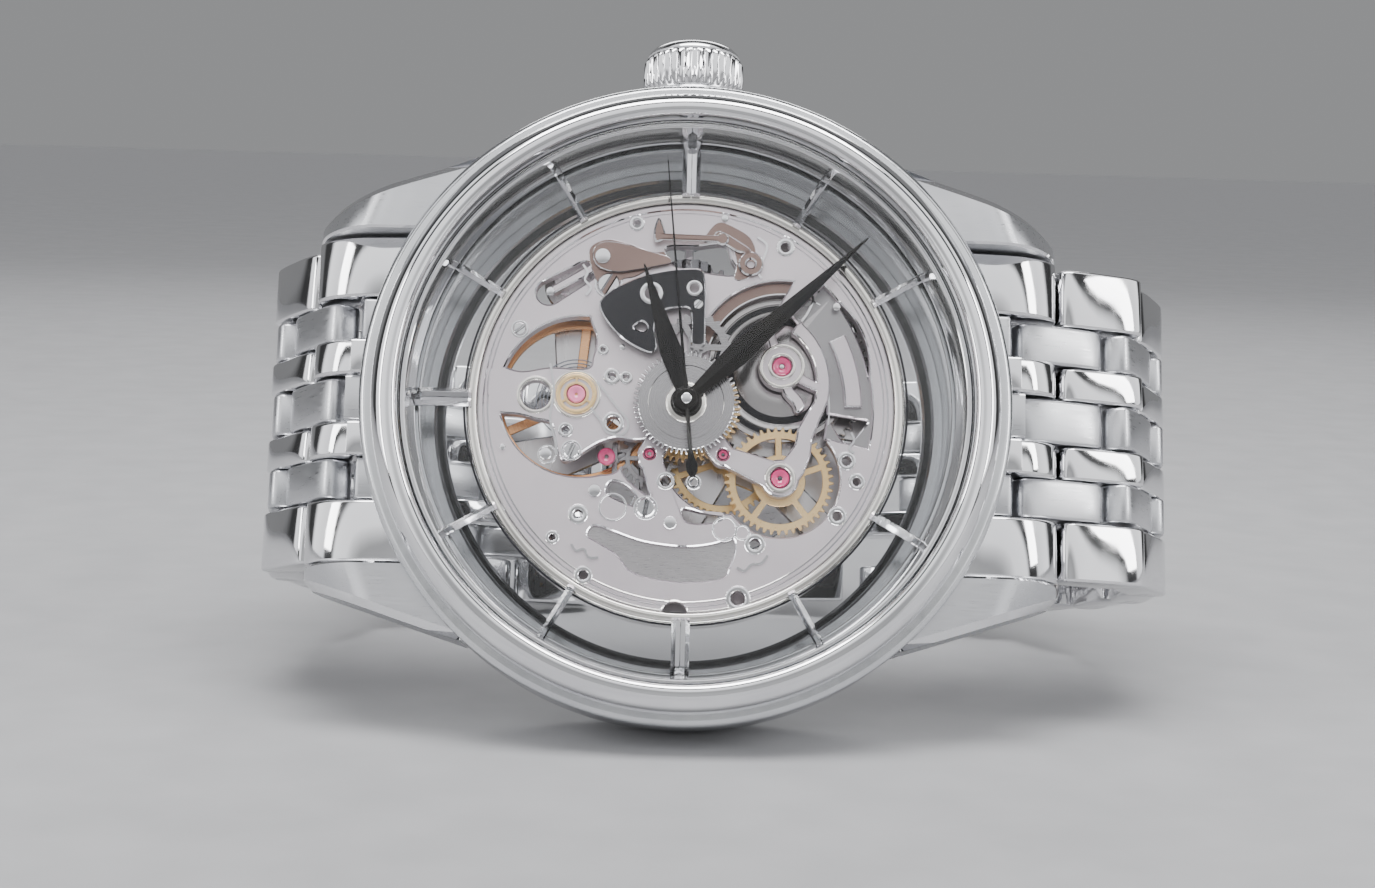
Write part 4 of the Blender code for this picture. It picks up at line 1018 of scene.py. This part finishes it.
def make_jewels():
    piece("barrel_ruby", jewel(BARREL, 0.6, -0.02, 0.45, 0.2), "case", [RUBY], ["barrel_jewel"])
    piece("great_ruby", jewel(GREAT, 0.58, -0.02, 0.45), "case", [RUBY], ["great_wheel_jewel"])
    piece("balance_ruby", jewel(BALANCE, 0.56, -0.12, 0.45, 0.1), "case", [PINK_RUBY], ["balance_jewel"])
    small = [jewel(centre, 0.3, 0.02, 0.4, 0.1) for centre in (THIRD, ESCAPE)]
    small.append(jewel(PALLET, 0.55, 0.6, 0.9, 0.14))
    piece("train_rubies", joined(small), "case", [RUBY])
    outer = collar(BALANCE, 1.0, 1.3, -0.16, 0.1)
    inner = collar(BALANCE, 0.62, 0.8, -0.12, 0.1)
    turns = [math.radians(turn) for turn in (90, 210, 330)]
    legs = [bar(polar(BALANCE, 0.7, turn), polar(BALANCE, 1.1, turn), 0.14) for turn in turns]
    spring = layered([(-0.14, -0.04, legs, [])])
    piece("shock_spring", joined([outer, inner, spring]), "case", [GILT])


def make_bridge(node_name, outlines, holes, pillars):
    """A striped bridge on the movement's back with the pillars that hold it off the plate."""
    solid = layered(
        [
            (BRIDGE_FRONT, BRIDGE_BACK, outlines, holes),
            (PLATE_BACK + 0.03, BRIDGE_FRONT, [circle(centre, radius) for centre, radius in pillars], []),
        ]
    )
    solid = chamfer(solid, EDGE, both=True)
    piece(f"{node_name}_plate", solid, "case", [BRIDGE, POLISHED], [node_name])


def make_bridges():
    right_foot, left_foot, cock_foot, barrel_foot = (9.2, -7.6), (-1.6, -9.8), (-7.4, 8.3), (7.4, 9.6)
    barrel = [
        band(CENTRE, 3.4, 13.0, -8, 62), circle(BARREL, 2.2, ROUND), bar((3.8, 1.0), CROWN_WHEEL, 3.0, 2.4),
    ]
    holes = [circle(BARREL, 0.58), circle(CROWN_WHEEL, 0.42), circle((9.6, 5.4), 1.3)]
    make_bridge("barrel_bridge", barrel, holes, [((12.1, -0.6), 0.6), (barrel_foot, 0.6)])
    train = [
        bar(right_foot, GREAT, 2.1, 2.2), bar(GREAT, THIRD, 2.0), bar(THIRD, CENTRE, 1.8, 1.5),
        bar(THIRD, left_foot, 2.0, 2.4), bar(left_foot, ESCAPE, 2.0, 1.4),
    ]
    holes = [circle(centre, 0.3) for centre in (GREAT, THIRD, CENTRE, ESCAPE)]
    make_bridge("train_bridge", train, holes, [(right_foot, 0.6), (left_foot, 0.8)])
    cock = [bar(cock_foot, BALANCE, 2.8, 2.6), circle(cock_foot, 1.9, ROUND)]
    make_bridge("balance_cock", cock, [circle(BALANCE, 0.4)], [(cock_foot, 1.3)])
    small_screws = (right_foot, left_foot, barrel_foot, (12.0, -0.6))
    heads = [screw(centre, 0.62, -0.12, 0.3, 25.0) for centre in small_screws]
    heads.append(screw(cock_foot, 0.8, -0.12, 0.3, 70.0))
    rubies = [jewel(centre, 0.29, -0.04, 0.25, 0.1) for centre in (GREAT, THIRD, ESCAPE)]
    place = shift(0, BRIDGE_BACK, 0)
    piece("bridge_screws", moved(joined(heads), TO_BACK), "case", [POLISHED], place=place)
    piece("bridge_rubies", moved(joined(rubies), TO_BACK), "case", [RUBY], place=place)


# Going train, escapement and balance.


def make_barrel():
    wall = [
        (1.25, 1.45), (1.25, 1.34), (1.4, 1.3), (2.9, 1.3), (3.0, 1.36), (3.5, 1.36), (3.6, 1.3),
        (3.85, 1.3), (3.9, 1.38), (4.3, 1.38), (4.36, 1.3), (4.62, 1.3), (4.7, 1.38), (4.7, 2.45),
        (4.4, 2.45), (4.4, 1.45),
    ]
    teeth = plate(2.45, 2.68, [meshing(BARREL, GREAT, 60, 15)], [circle(BARREL, 4.4, ROUND)], edge=0.04)
    parts = [finished(lathe(wall, ROUND, BARREL), 0), finished(teeth, 0)]
    for low, high in ((3.0, 3.46), (3.92, 4.26)):
        ring = lathe([(low, 1.37), (low, 1.33), (high, 1.33), (high, 1.37)], ROUND, BARREL)
        parts.append(finished(ring, 1))
    piece("barrel_body", joined(parts), "barrel", [DRUM, BLACK], ["barrel_drum"])


def train_wheel(node_name, body, centre, rim, pinion, arms, wheel_span, pinion_span, staff_span):
    """A spoked gilt wheel, its pinion and their staff; each span is a (front, back)."""
    rim_root = min(math.dist(centre, point) for point in rim)
    pinion_tip = max(math.dist(centre, point) for point in pinion)
    windows = spokes(centre, max(0.75, pinion_tip + 0.2), rim_root - 0.42, arms, 0.4, 20)
    wheel = plate(*wheel_span, [rim], windows, edge=0.03, both=True)
    leaves = plate(*pinion_span, [pinion], edge=0.03, both=True)
    staff = rod(0.15, *staff_span, centre, edge=0.04, count=STAFF)
    whole = joined([finished(wheel, 0), finished(leaves, 1), finished(staff, 1)])
    piece(f"{node_name}_gilt", whole, body, [GILT, DARK_GREY], [node_name])


def make_train():
    """The wheels from the barrel to the escape wheel, two of them low and one high in the movement."""
    low_wheel, low_pinion = (1.06, 1.2), (1.04, 1.3)
    high_wheel, high_pinion = (2.74, 2.86), (2.6, 2.9)
    long_staff, short_staff = (0.12, 3.25), (1.06, 3.25)
    rim = meshing(GREAT, THIRD, 45, 6)
    pinion = meshing(GREAT, BARREL, 15, 60, True)
    train_wheel("great_wheel", "great_wheel", GREAT, rim, pinion, 5, low_wheel, (2.3, 2.72), long_staff)
    rim = meshing(THIRD, CENTRE, 48, 6)
    pinion = meshing(THIRD, GREAT, 6, 45, True)
    train_wheel("third_wheel", "third_wheel", THIRD, rim, pinion, 4, high_wheel, low_pinion, long_staff)
    rim = meshing(CENTRE, ESCAPE, 54, 6)
    pinion = meshing(CENTRE, THIRD, 6, 48, True)
    train_wheel("seconds_wheel", "seconds_hand", CENTRE, rim, pinion, 4, low_wheel, high_pinion, short_staff)
    teeth = gear(ESCAPE, 1.55, 1.95, 20, lean=0.25)
    wheel = plate(1.9, 2.05, [teeth], spokes(ESCAPE, 0.6, 1.25, 4, 0.3), edge=0.025, both=True)
    pinion = layered([(*low_pinion, [meshing(ESCAPE, CENTRE, 6, 54, True)], [])])
    staff = rod(0.13, 0.12, 3.2, ESCAPE, count=STAFF)
    whole = finished(joined([wheel, pinion, staff]), 0)
    piece("escape_wheel_steel", whole, "escape_wheel", [GREY], ["escape_wheel"])


def make_escapement():
    x, z = PALLET
    towards = (Vector(BALANCE) - Vector(PALLET)).normalized()
    tip = (x + 2.9 * towards.x, z + 2.9 * towards.y)
    anchor_x = x + 0.5
    arms = [
        bar(PALLET, tip, 0.4, 0.3),
        bar((anchor_x, z + 1.0), (anchor_x, z - 1.0), 0.34),
        bar(PALLET, (anchor_x, z), 0.5),
    ]
    fork = plate(1.9, 2.05, arms, edge=0.03, both=True)
    staff = rod(0.14, 1.1, 2.2, PALLET, count=STAFF)
    piece("pallet_fork_steel", finished(joined([fork, staff]), 0), "pallet_fork", [GREY], ["pallet_fork"])
    rim = [(4.75, 2.3), (5.3, 2.3), (5.3, 2.65), (4.75, 2.65)]
    arms = [bar(BALANCE, polar(BALANCE, 5.0, turn), 0.6) for turn in (1.48, 3.58, 5.67)]
    spider = plate(2.4, 2.55, [*arms, circle(BALANCE, 0.5)], edge=0.04, both=True)
    hub = rod(0.5, 2.1, 2.65, BALANCE, edge=0.06)
    staff = rod(0.14, 0.12, 3.3, BALANCE, count=STAFF)
    wheel = joined([lathe(softened(rim, 0.08), FINE, BALANCE), spider, hub, staff])
    piece("balance_rim", finished(wheel, 0), "balance", [COPPER], ["balance_wheel"])
    coil = ribbon(spiral(BALANCE, 0.62, 2.7, 9, 48), 0.022, 1.35, 1.52)
    piece("hairspring_coil", coil, "balance", [SPRING], ["hairspring"])


# Winding and setting work.


def make_setting_cover():
    """The black cover over the setting work, with its hook-shaped window, two ringed holes and a screw."""
    outline = [
        (-5.6, 6.3), (-5.0, 7.0), (-4.1, 7.55), (-2.9, 8.1), (-1.3, 8.5), (0.3, 8.65), (0.85, 8.5),
        (1.0, 8.0), (1.1, 7.0), (1.1, 5.4), (1.1, 4.0), (1.0, 3.72), (0.35, 3.72), (0.2, 4.0), (0.2, 5.2),
        (0.05, 6.0), (-0.7, 6.05), (-1.6, 5.8), (-2.1, 4.9), (-1.95, 3.9), (-1.95, 3.4), (-2.4, 3.1),
        (-3.8, 3.75), (-4.8, 4.65), (-5.45, 5.6),
    ]
    hook = smooth_line([(-3.4, 4.75), (-2.9, 5.1), (-2.55, 4.8), (-2.7, 4.5), (-3.1, 4.55)], 4)
    large_hole, small_hole = (-2.35, 6.95), (0.35, 7.35)
    holes = [circle(large_hole, 0.42), circle(small_hole, 0.34), hook]
    cover = plate(-0.9, -0.7, [smooth_line(outline, 4)], holes, edge=0.09)
    piece("setting_cover_black", cover, "case", [BLACK, POLISHED], ["setting_cover"])
    rings = [collar(large_hole, 0.42, 0.74, -0.96, -0.8), collar(small_hole, 0.3, 0.52, -0.96, -0.8)]
    rings.append(screw((0.62, 6.3), 0.3, -1.0, 0.2, 50.0))
    piece("setting_cover_rings", finished(joined(rings), 0), "case", [POLISHED])


def make_setting_levers():
    lever = [
        (-6.15, 9.6), (-5.9, 10.15), (-5.2, 10.4), (-4.0, 10.25), (-2.6, 9.85), (-1.35, 9.5), (-1.15, 9.1),
        (-1.8, 8.9), (-3.2, 8.6), (-4.6, 8.4), (-5.8, 8.75),
    ]
    blade = plate(-0.35, -0.1, [smooth_line(lever, 4)], edge=0.05)
    pin = rod(0.5, -0.5, -0.3, LEVER_PIVOT, edge=0.14)
    whole = joined([blade, finished(pin, 1)])
    piece("setting_lever_rose", whole, "setting_lever", [BROWN, POLISHED], ["setting_lever"])
    arm = [(3.2, 9.9), (2.4, 10.3), (1.7, 10.75), (1.55, 11.1), (1.95, 11.3), (2.9, 10.8), (3.9, 10.1)]
    outlines = [circle(YOKE_PIVOT, 0.8), smooth_line(arm, 5)]
    yoke = plate(-0.35, -0.1, outlines, [circle(YOKE_PIVOT, 0.28)], edge=0.1)
    piece("yoke_rose", yoke, "yoke", [BROWN, POLISHED], ["yoke"])


def make_setting_bed():
    """The flat bed under lever and yoke, the jumper spring over them and the plate's ornament."""
    base = [
        (-6.35, 9.2), (-6.3, 10.1), (-5.3, 10.6), (-4.0, 10.4), (-2.3, 9.85), (-1.6, 9.9), (-1.5, 9.3),
        (-2.2, 8.9), (-3.4, 8.2), (-4.3, 7.9), (-4.6, 6.6), (-5.2, 6.7), (-5.9, 7.9),
    ]
    corner = [
        (0.9, 10.6), (1.3, 11.5), (1.9, 11.95), (2.9, 11.6), (3.9, 10.9), (4.3, 9.6), (3.9, 8.4),
        (2.9, 8.2), (3.0, 9.4), (2.4, 10.6),
    ]
    outlines = [smooth_line(base, 4), smooth_line(corner, 4)]
    bed = plate(-0.06, 0.05, outlines, [circle(LEVER_PIVOT, 0.3), circle(YOKE_PIVOT, 0.25)], edge=0.04)
    piece("setting_bed", bed, "case", [BROWN, POLISHED])
    hook = smooth_line([(-2.2, 10.4), (-1.7, 10.55), (-1.6, 11.1), (-2.0, 12.0), (-2.3, 11.2)], 4)
    outlines = [bar((-2.0, 10.75), (2.0, 10.72), 0.42, 0.4), circle((2.05, 10.7), 0.42), hook]
    piece("setting_jumper", plate(-0.62, -0.42, outlines, edge=0.11), "case", [BROWN, POLISHED])
    scrolls = [ribbon(smooth_line(line, 6, closed=False), 0.07, -0.12, 0.02) for line in SCROLLS]
    piece("plate_scrolls", joined(scrolls), "case", [POLISHED])


def make_winding_wheel(name, body, centre, rim, arbor):
    """A snailed wheel on the back of the movement, with a polished bevel, its arbor and its screw."""
    disc = plate(3.4, 3.62, [rim], edge=0.05, both=True)
    hub = lathe(softened(arbor, 0.05, closed=False), SMALL, centre)
    head = moved(screw(centre, 0.7, -3.7, 0.09, 35.0), TO_BACK)
    snailed = surface(
        f"{name}_snailing", "grey_steel", (0.62, 0.61, 0.61), (0.50, 0.49, 0.50), (0.16, 0.3),
        scale=9000.0, centre=centre, bump=0.5,
    )
    whole = joined([disc, finished(hub, 1), finished(head, 1)])
    piece(f"{name}_disc", whole, body, [snailed, POLISHED], [body])


def make_winding_wheels():
    top = 3.41
    rim = meshing(BARREL, CROWN_WHEEL, 32, 20)
    arbor = [(0, 0.1), (0.16, 0.1), (0.16, 1.1), (1.1, 1.1), (1.1, 2.85), (0.5, 2.85), (0.5, top), (0, top)]
    make_winding_wheel("ratchet", "ratchet_wheel", BARREL, rim, arbor)
    rim = meshing(CROWN_WHEEL, BARREL, 20, 32, True)
    stub = [(0, BRIDGE_FRONT), (0.35, BRIDGE_FRONT), (0.35, top), (0, top)]
    make_winding_wheel("crown_drive", "crown_wheel", CROWN_WHEEL, rim, stub)


def make_crown():
    """Knurled crown: rounded flutes between a plain collar and a smooth domed cap."""
    stations = (
        (CROWN_BASE, 2.7, 0.0), (CROWN_BASE + 0.05, 2.82, 0.0), (CROWN_BASE + 0.3, 2.95, 0.0),
        (CROWN_BASE + 0.42, 3.0, 0.2), (CROWN_BASE + 0.7, CROWN_R, 1.0), (22.0, CROWN_R, 1.0),
        (22.9, CROWN_R, 1.0), (23.15, 3.17, 0.5), (23.25, 3.05, 0.0), (23.32, 2.98, 0.0),
        (23.4, 3.02, 0.0), (23.6, 2.96, 0.0), (23.85, 2.72, 0.0), (24.02, 2.3, 0.0),
        (24.13, 1.7, 0.0), (CROWN_REACH - 0.02, 0.8, 0.0),
    )
    count = 6 * FLUTES
    groove = 0.17
    rings = []
    for z, radius, depth in stations:
        ring = []
        for i in range(count):
            turn = 2 * math.pi * i / count
            dip = depth * groove * abs(math.sin(FLUTES * turn / 2)) ** 1.5
            ring.append((*polar((0, STEM_Y), radius - dip, turn), z))
        rings.append(ring)
    rings.append([(0, STEM_Y, CROWN_REACH)])
    piece("crown_knurled", skinned(rings), "crown", [POLISHED], ["crown"], smooth=40)
    tube = [(0.8, -20.66), (0.8, -20.0), (2.2, -20.0), (2.2, -20.5), (2.05, -20.66)]
    turn = shift(0, STEM_Y, 0) @ Matrix.Rotation(math.radians(90), 4, "X")
    flip = Matrix.Diagonal((1, 1, -1, 1))
    piece("crown_tube", moved(moved(lathe(softened(tube, 0.05), ROUND), turn), flip), "case", [CASE_SATIN])


def make_rotor():
    windows = spokes(CENTRE, 4.6, 9.6, 9, 1.2, 5)[5:8]
    weight = layered(
        [
            (3.75, 4.05, [band(CENTRE, 1.75, 12.8, 190, 350, 64)], windows),
            (3.75, 4.6, [band(CENTRE, 10.9, 12.8, 190, 350, 64)], []),
            (3.75, 4.2, [circle(CENTRE, 2.3, ROUND)], []),
        ]
    )
    piece("rotor_weight", chamfer(weight, EDGE, both=True), "rotor", [BRIDGE, POLISHED], ["rotor"])
    dome = [(0, 4.35), (1.1, 4.35), (1.5, 4.2), (1.5, 4.1), (0, 4.1)]
    piece("rotor_cap", lathe(softened(dome, 0.1, closed=False), ROUND), "rotor", [POLISHED])
    bearing = rod(1.6, 3.38, 3.7, edge=0.08, count=ROUND)
    piece("bearing_hub", bearing, "case", [POLISHED], ["rotor_bearing"])


# Bracelet and clasp.


def row_spans(width):
    """The (low, high) of each of the seven rows across a link of a given width."""
    scale = width / sum(ROWS)
    spans = []
    low = -width / 2
    for row in ROWS:
        high = low + row * scale
        spans.append((low + GAP, high - GAP))
        low = high
    return spans


def link_width(number):
    """How wide a unit is; the bracelet tapers from the lugs to the clasp."""
    return LUG_GAP - 2 * GAP - TAPER * number


def make_unit(width):
    """One bracelet unit: four polished rows, three brushed ones half a pitch behind, and a core bar."""
    quarter = PITCH / 4
    parts = []
    for index, (low, high) in enumerate(row_spans(width)):
        first = -1 if index % 2 else 1
        start = first * quarter + 2 * GAP
        end = (first + 4) * quarter - 2 * GAP
        row = rounded_prism(lambda inset, a=start, b=end: domed_profile(a, b, LINK_HALF, inset), low, high)
        parts.append(finished(row, index % 2))
    inset = ROWS[0] * width / sum(ROWS) * 0.5
    core = ((1.35 * quarter, -0.6), (2.65 * quarter, -0.6), (2.0 * quarter, 0.7))
    rod = rounded_prism(lambda _: core, -width / 2 + inset, width / 2 - inset)
    parts.append(finished(rod, 1))
    return joined(parts)


def make_bracelet():
    for side, label in ((1, "right"), (-1, "left")):
        make_end_link(side, label)
        pins = [joint_point(f"{label}_link_{number}_hinge") for number in range(1, LINKS + 1)]
        for number, pin in enumerate(pins, 1):
            angle = math.radians(LAST_ANGLE[label])
            if number < LINKS:
                ahead = pins[number] - pin
                angle = math.atan2(ahead.y, ahead.x)
            unit = moved(make_unit(link_width(number)), Matrix.Diagonal((1, -side, 1, 1)))
            place = shift(pin.x, pin.y, 0) @ Matrix.Rotation(angle, 4, "Z")
            body = f"{label}_link_{number}"
            piece(f"{body}_rows", unit, body, [LINK_POLISH, BRUSHED], [body], place, smooth=45)


def make_end_link(side, label):
    """The fixed piece between the lugs: each row starts on the case's round wall and ends in its nose."""
    pin = joint_point(f"{label}_link_1_hinge")
    x, y = abs(pin.x), pin.y
    quarter = PITCH / 4
    parts = []
    for index, (low, high) in enumerate(row_spans(LUG_GAP - 2 * GAP)):
        widest = max(abs(low), abs(high))
        start = math.sqrt((CASE_R + 0.1) ** 2 - widest**2) - 0.25
        nose = x + (quarter if index % 2 == 0 else -quarter) - 2 * GAP
        drop = 0.35 if index % 2 else 0.0

        def outline(inset, start=start, nose=nose, drop=drop, polished=index % 2 == 0):
            top = [(start + inset, y - 3.2 + drop), (start + 1.4, y - 3.12 + drop)]
            if polished:
                top += [(20.8, y - 2.85), (22.2, y - 2.3), (nose - 0.65, y - 1.5), (nose - 0.12, y - 0.7)]
                top.append((nose - inset, y + 0.1))
            else:
                top += [(nose - 0.7, y - 2.7), (nose - 0.2, y - 2.35), (nose - inset, y - 1.9)]
            curve = [(px, py + inset) for px, py in smooth_line(top, 5, closed=False)]
            bottom = [(nose - inset, y + 0.9), (nose - 0.5, y + LINK_HALF - inset)]
            return [*curve, *bottom, (start + inset, y + LINK_HALF - inset)]

        parts.append(finished(rounded_prism(outline, low, high), index % 2))
    whole = moved(joined(parts), Matrix.Diagonal((side, 1, 1, 1)))
    piece(f"{label}_end_rows", whole, "case", [LINK_POLISH, BRUSHED], [f"{label}_end_link"], smooth=40)


def make_clasp():
    """Clasp cover: a bowed plate with a polished rim, a brushed panel and tongues between the last rows."""
    start = joint_point("clasp_cover_hinge")
    last = joint_point("right_link_7_hinge")
    tilt = math.radians(LAST_ANGLE["right"])
    end = last + Vector((PITCH * math.cos(tilt), PITCH * math.sin(tilt), 0))
    run = end - start
    length = math.hypot(run.x, run.y)
    place = shift(start.x, start.y, 0) @ Matrix.Rotation(math.atan2(run.y, run.x), 4, "Z")
    spans = row_spans(link_width(LINKS + 1))
    half_width = spans[-1][1] - 0.6

    def arch(offset, thick, begin, finish, inset):
        stations = [begin + inset + (finish - begin - 2 * inset) * i / 20 for i in range(21)]
        middle = [(s, offset + CLASP_RISE * (1 - (2 * s / length - 1) ** 2)) for s in stations]
        outer = [(s, m + thick / 2 - inset) for s, m in middle]
        return softened(outer + [(s, m - thick / 2 + inset) for s, m in reversed(middle)], 0.15, 2)

    shell = rounded_prism(lambda inset: arch(0.9, 0.7, 2.0, length - 2.7, inset), -half_width, half_width)
    panel_half = half_width - 1.0
    panel = rounded_prism(
        lambda inset: arch(0.93, 0.7, 3.0, length - 3.7, inset), -panel_half, panel_half, edge=0.1
    )
    tongue = [(-1.0, 0.7), (-1.0, -0.7), (0.9, -0.9), (2.6, 0.75), (2.6, 1.3), (0.6, 1.3)]
    parts = [finished(shell, 0), finished(panel, 1)]
    for low, high in spans[1::2]:
        parts.append(finished(rounded_prism(lambda inset: softened(tongue, 0.3 - inset), low, high), 1))
    whole = joined(parts)
    piece("clasp_cover_shell", whole, "clasp_cover", [POLISHED, BRUSHED], ["clasp_cover"], place, smooth=40)


def dress_kept_nodes():
    """CAD nodes whose shape is right keep it and take a finish from here."""
    finishes = {
        "clasp_long_blade": BRUSHED, "clasp_short_blade": BRUSHED, "winding_stem": POLISHED,
        "winding_pinion": DARK_GREY, "sliding_pinion": DARK_GREY, "cannon_pinion": DARK_GREY,
        "minute_wheel": GREY, "mainspring": SPRING,
    }
    for name, finish in finishes.items():
        for slot in frame["nodes"][name].material_slots:
            slot.material = finish


# Stage, light and camera.


# The room that the steel mirrors, as bands of grey: (place, tone), from 0 straight in front to 1 behind.
WORLD_TONES = (
    (0.0, 0.34), (0.04, 0.26), (0.09, 0.85), (0.20, 0.95), (0.235, 0.03), (0.315, 0.03), (0.35, 0.75),
    (0.54, 1.0), (0.59, 0.03), (0.70, 0.03), (0.76, 0.14), (1.0, 0.14),
)
WORLD_STRENGTH = 1.7
# What the camera sees past the floor's edge instead of those bands.
BACKDROP = (0.17, 0.172, 0.176, 1.0)
# The floor's radius in metres.
FLOOR_R = 12.0


def make_stage():
    bm = bmesh.new()
    bm.faces.new([bm.verts.new((x, y, 0)) for x, y in circle(CENTRE, FLOOR_R, 64)])
    mesh = bpy.data.meshes.new("floor")
    bm.to_mesh(mesh)
    bm.free()
    pale = surface(
        "pale_floor", "brushed_steel", (0.38, 0.38, 0.39), (0.345, 0.345, 0.355), (0.6, 0.75),
        metallic=0.0, scale=60.0,
    )
    mesh.materials.append(pale)
    floor = bpy.data.objects.new("floor", mesh)
    bpy.context.scene.collection.objects.link(floor)


def softbox(name, place, aim, width, height, radiance):
    """A rectangular lamp whose power follows from its size and how bright its face looks."""
    data = bpy.data.lights.new(name, "AREA")
    data.shape = "RECTANGLE"
    data.size = width
    data.size_y = height
    data.energy = radiance * math.pi * width * height
    lamp = bpy.data.objects.new(name, data)
    lamp.location = place
    lamp.rotation_euler = (Vector(aim) - Vector(place)).to_track_quat("-Z", "Y").to_euler()
    bpy.context.scene.collection.objects.link(lamp)


def make_light():
    aim = (0, 0, 0.02)
    softbox("top_softbox", (0.0, -0.08, 0.36), aim, 0.32, 0.15, 11.0)
    softbox("left_softbox", (-0.34, -0.16, 0.16), aim, 0.08, 0.24, 8.0)
    softbox("right_softbox", (0.34, -0.16, 0.17), aim, 0.08, 0.24, 9.0)
    softbox("back_softbox", (0.0, 0.34, 0.26), aim, 0.30, 0.10, 5.0)
    world = bpy.data.worlds.new("studio")
    bpy.context.scene.world = world
    world.use_nodes = True
    tree = world.node_tree
    coords = node(tree, "ShaderNodeTexCoord")
    split = node(tree, "ShaderNodeSeparateXYZ")
    ramp = node(tree, "ShaderNodeValToRGB")
    spread = node(tree, "ShaderNodeMapRange")
    spread.inputs["From Min"].default_value = -1.0
    for _ in range(len(WORLD_TONES) - 2):
        ramp.color_ramp.elements.new(0.5)
    for element, (place, tone) in zip(ramp.color_ramp.elements, WORLD_TONES):
        element.position = place
        element.color = (tone, 1.01 * tone, 1.03 * tone, 1)
    tree.links.new(coords.outputs["Generated"], split.inputs["Vector"])
    tree.links.new(split.outputs["Y"], spread.inputs["Value"])
    tree.links.new(spread.outputs["Result"], ramp.inputs["Fac"])
    path = node(tree, "ShaderNodeLightPath")
    seen = node(tree, "ShaderNodeMix", data_type="RGBA")
    seen.inputs["B"].default_value = BACKDROP
    tree.links.new(path.outputs["Is Camera Ray"], seen.inputs["Factor"])
    tree.links.new(ramp.outputs["Color"], seen.inputs["A"])
    tree.links.new(seen.outputs["Result"], tree.nodes["Background"].inputs["Color"])
    tree.nodes["Background"].inputs["Strength"].default_value = WORLD_STRENGTH


def make_camera():
    """The photograph's viewpoint: in front of the dial, a little below its axis and looking up along it."""
    place = Vector((-1.7, -133.2, -26.7))
    yaw, pitch, roll = (math.radians(angle) for angle in (0.8, 10.3, 1.4))
    forward = Vector((math.sin(yaw) * math.cos(pitch), math.cos(yaw) * math.cos(pitch), math.sin(pitch)))
    right = Vector((math.cos(yaw), -math.sin(yaw), 0))
    up = right.cross(forward)
    rolled_right = math.cos(roll) * right + math.sin(roll) * up
    rolled_up = math.cos(roll) * up - math.sin(roll) * right
    turn = Matrix((rolled_right, rolled_up, -forward)).transposed().to_4x4()
    data = bpy.data.cameras.new("photo_view")
    data.lens = 56.6
    data.sensor_width = 36.0
    data.clip_start = 0.005
    camera = bpy.data.objects.new("photo_view", data)
    camera.matrix_world = WATCH @ Matrix.Translation(place * MM) @ turn
    bpy.context.scene.collection.objects.link(camera)
    bpy.context.scene.camera = camera


def corners(box):
    return [list(corner) for corner in box]


make_case()
make_case_back()
make_hour_ring()
make_dial_ring()
make_hands()
make_motion_work()
make_main_plate()
make_plate_fittings()
make_jewels()
make_bridges()
make_barrel()
make_train()
make_escapement()
make_setting_cover()
make_setting_levers()
make_setting_bed()
make_winding_wheels()
make_crown()
make_rotor()
make_bracelet()
make_clasp()
dress_kept_nodes()
make_stage()
make_light()
make_camera()
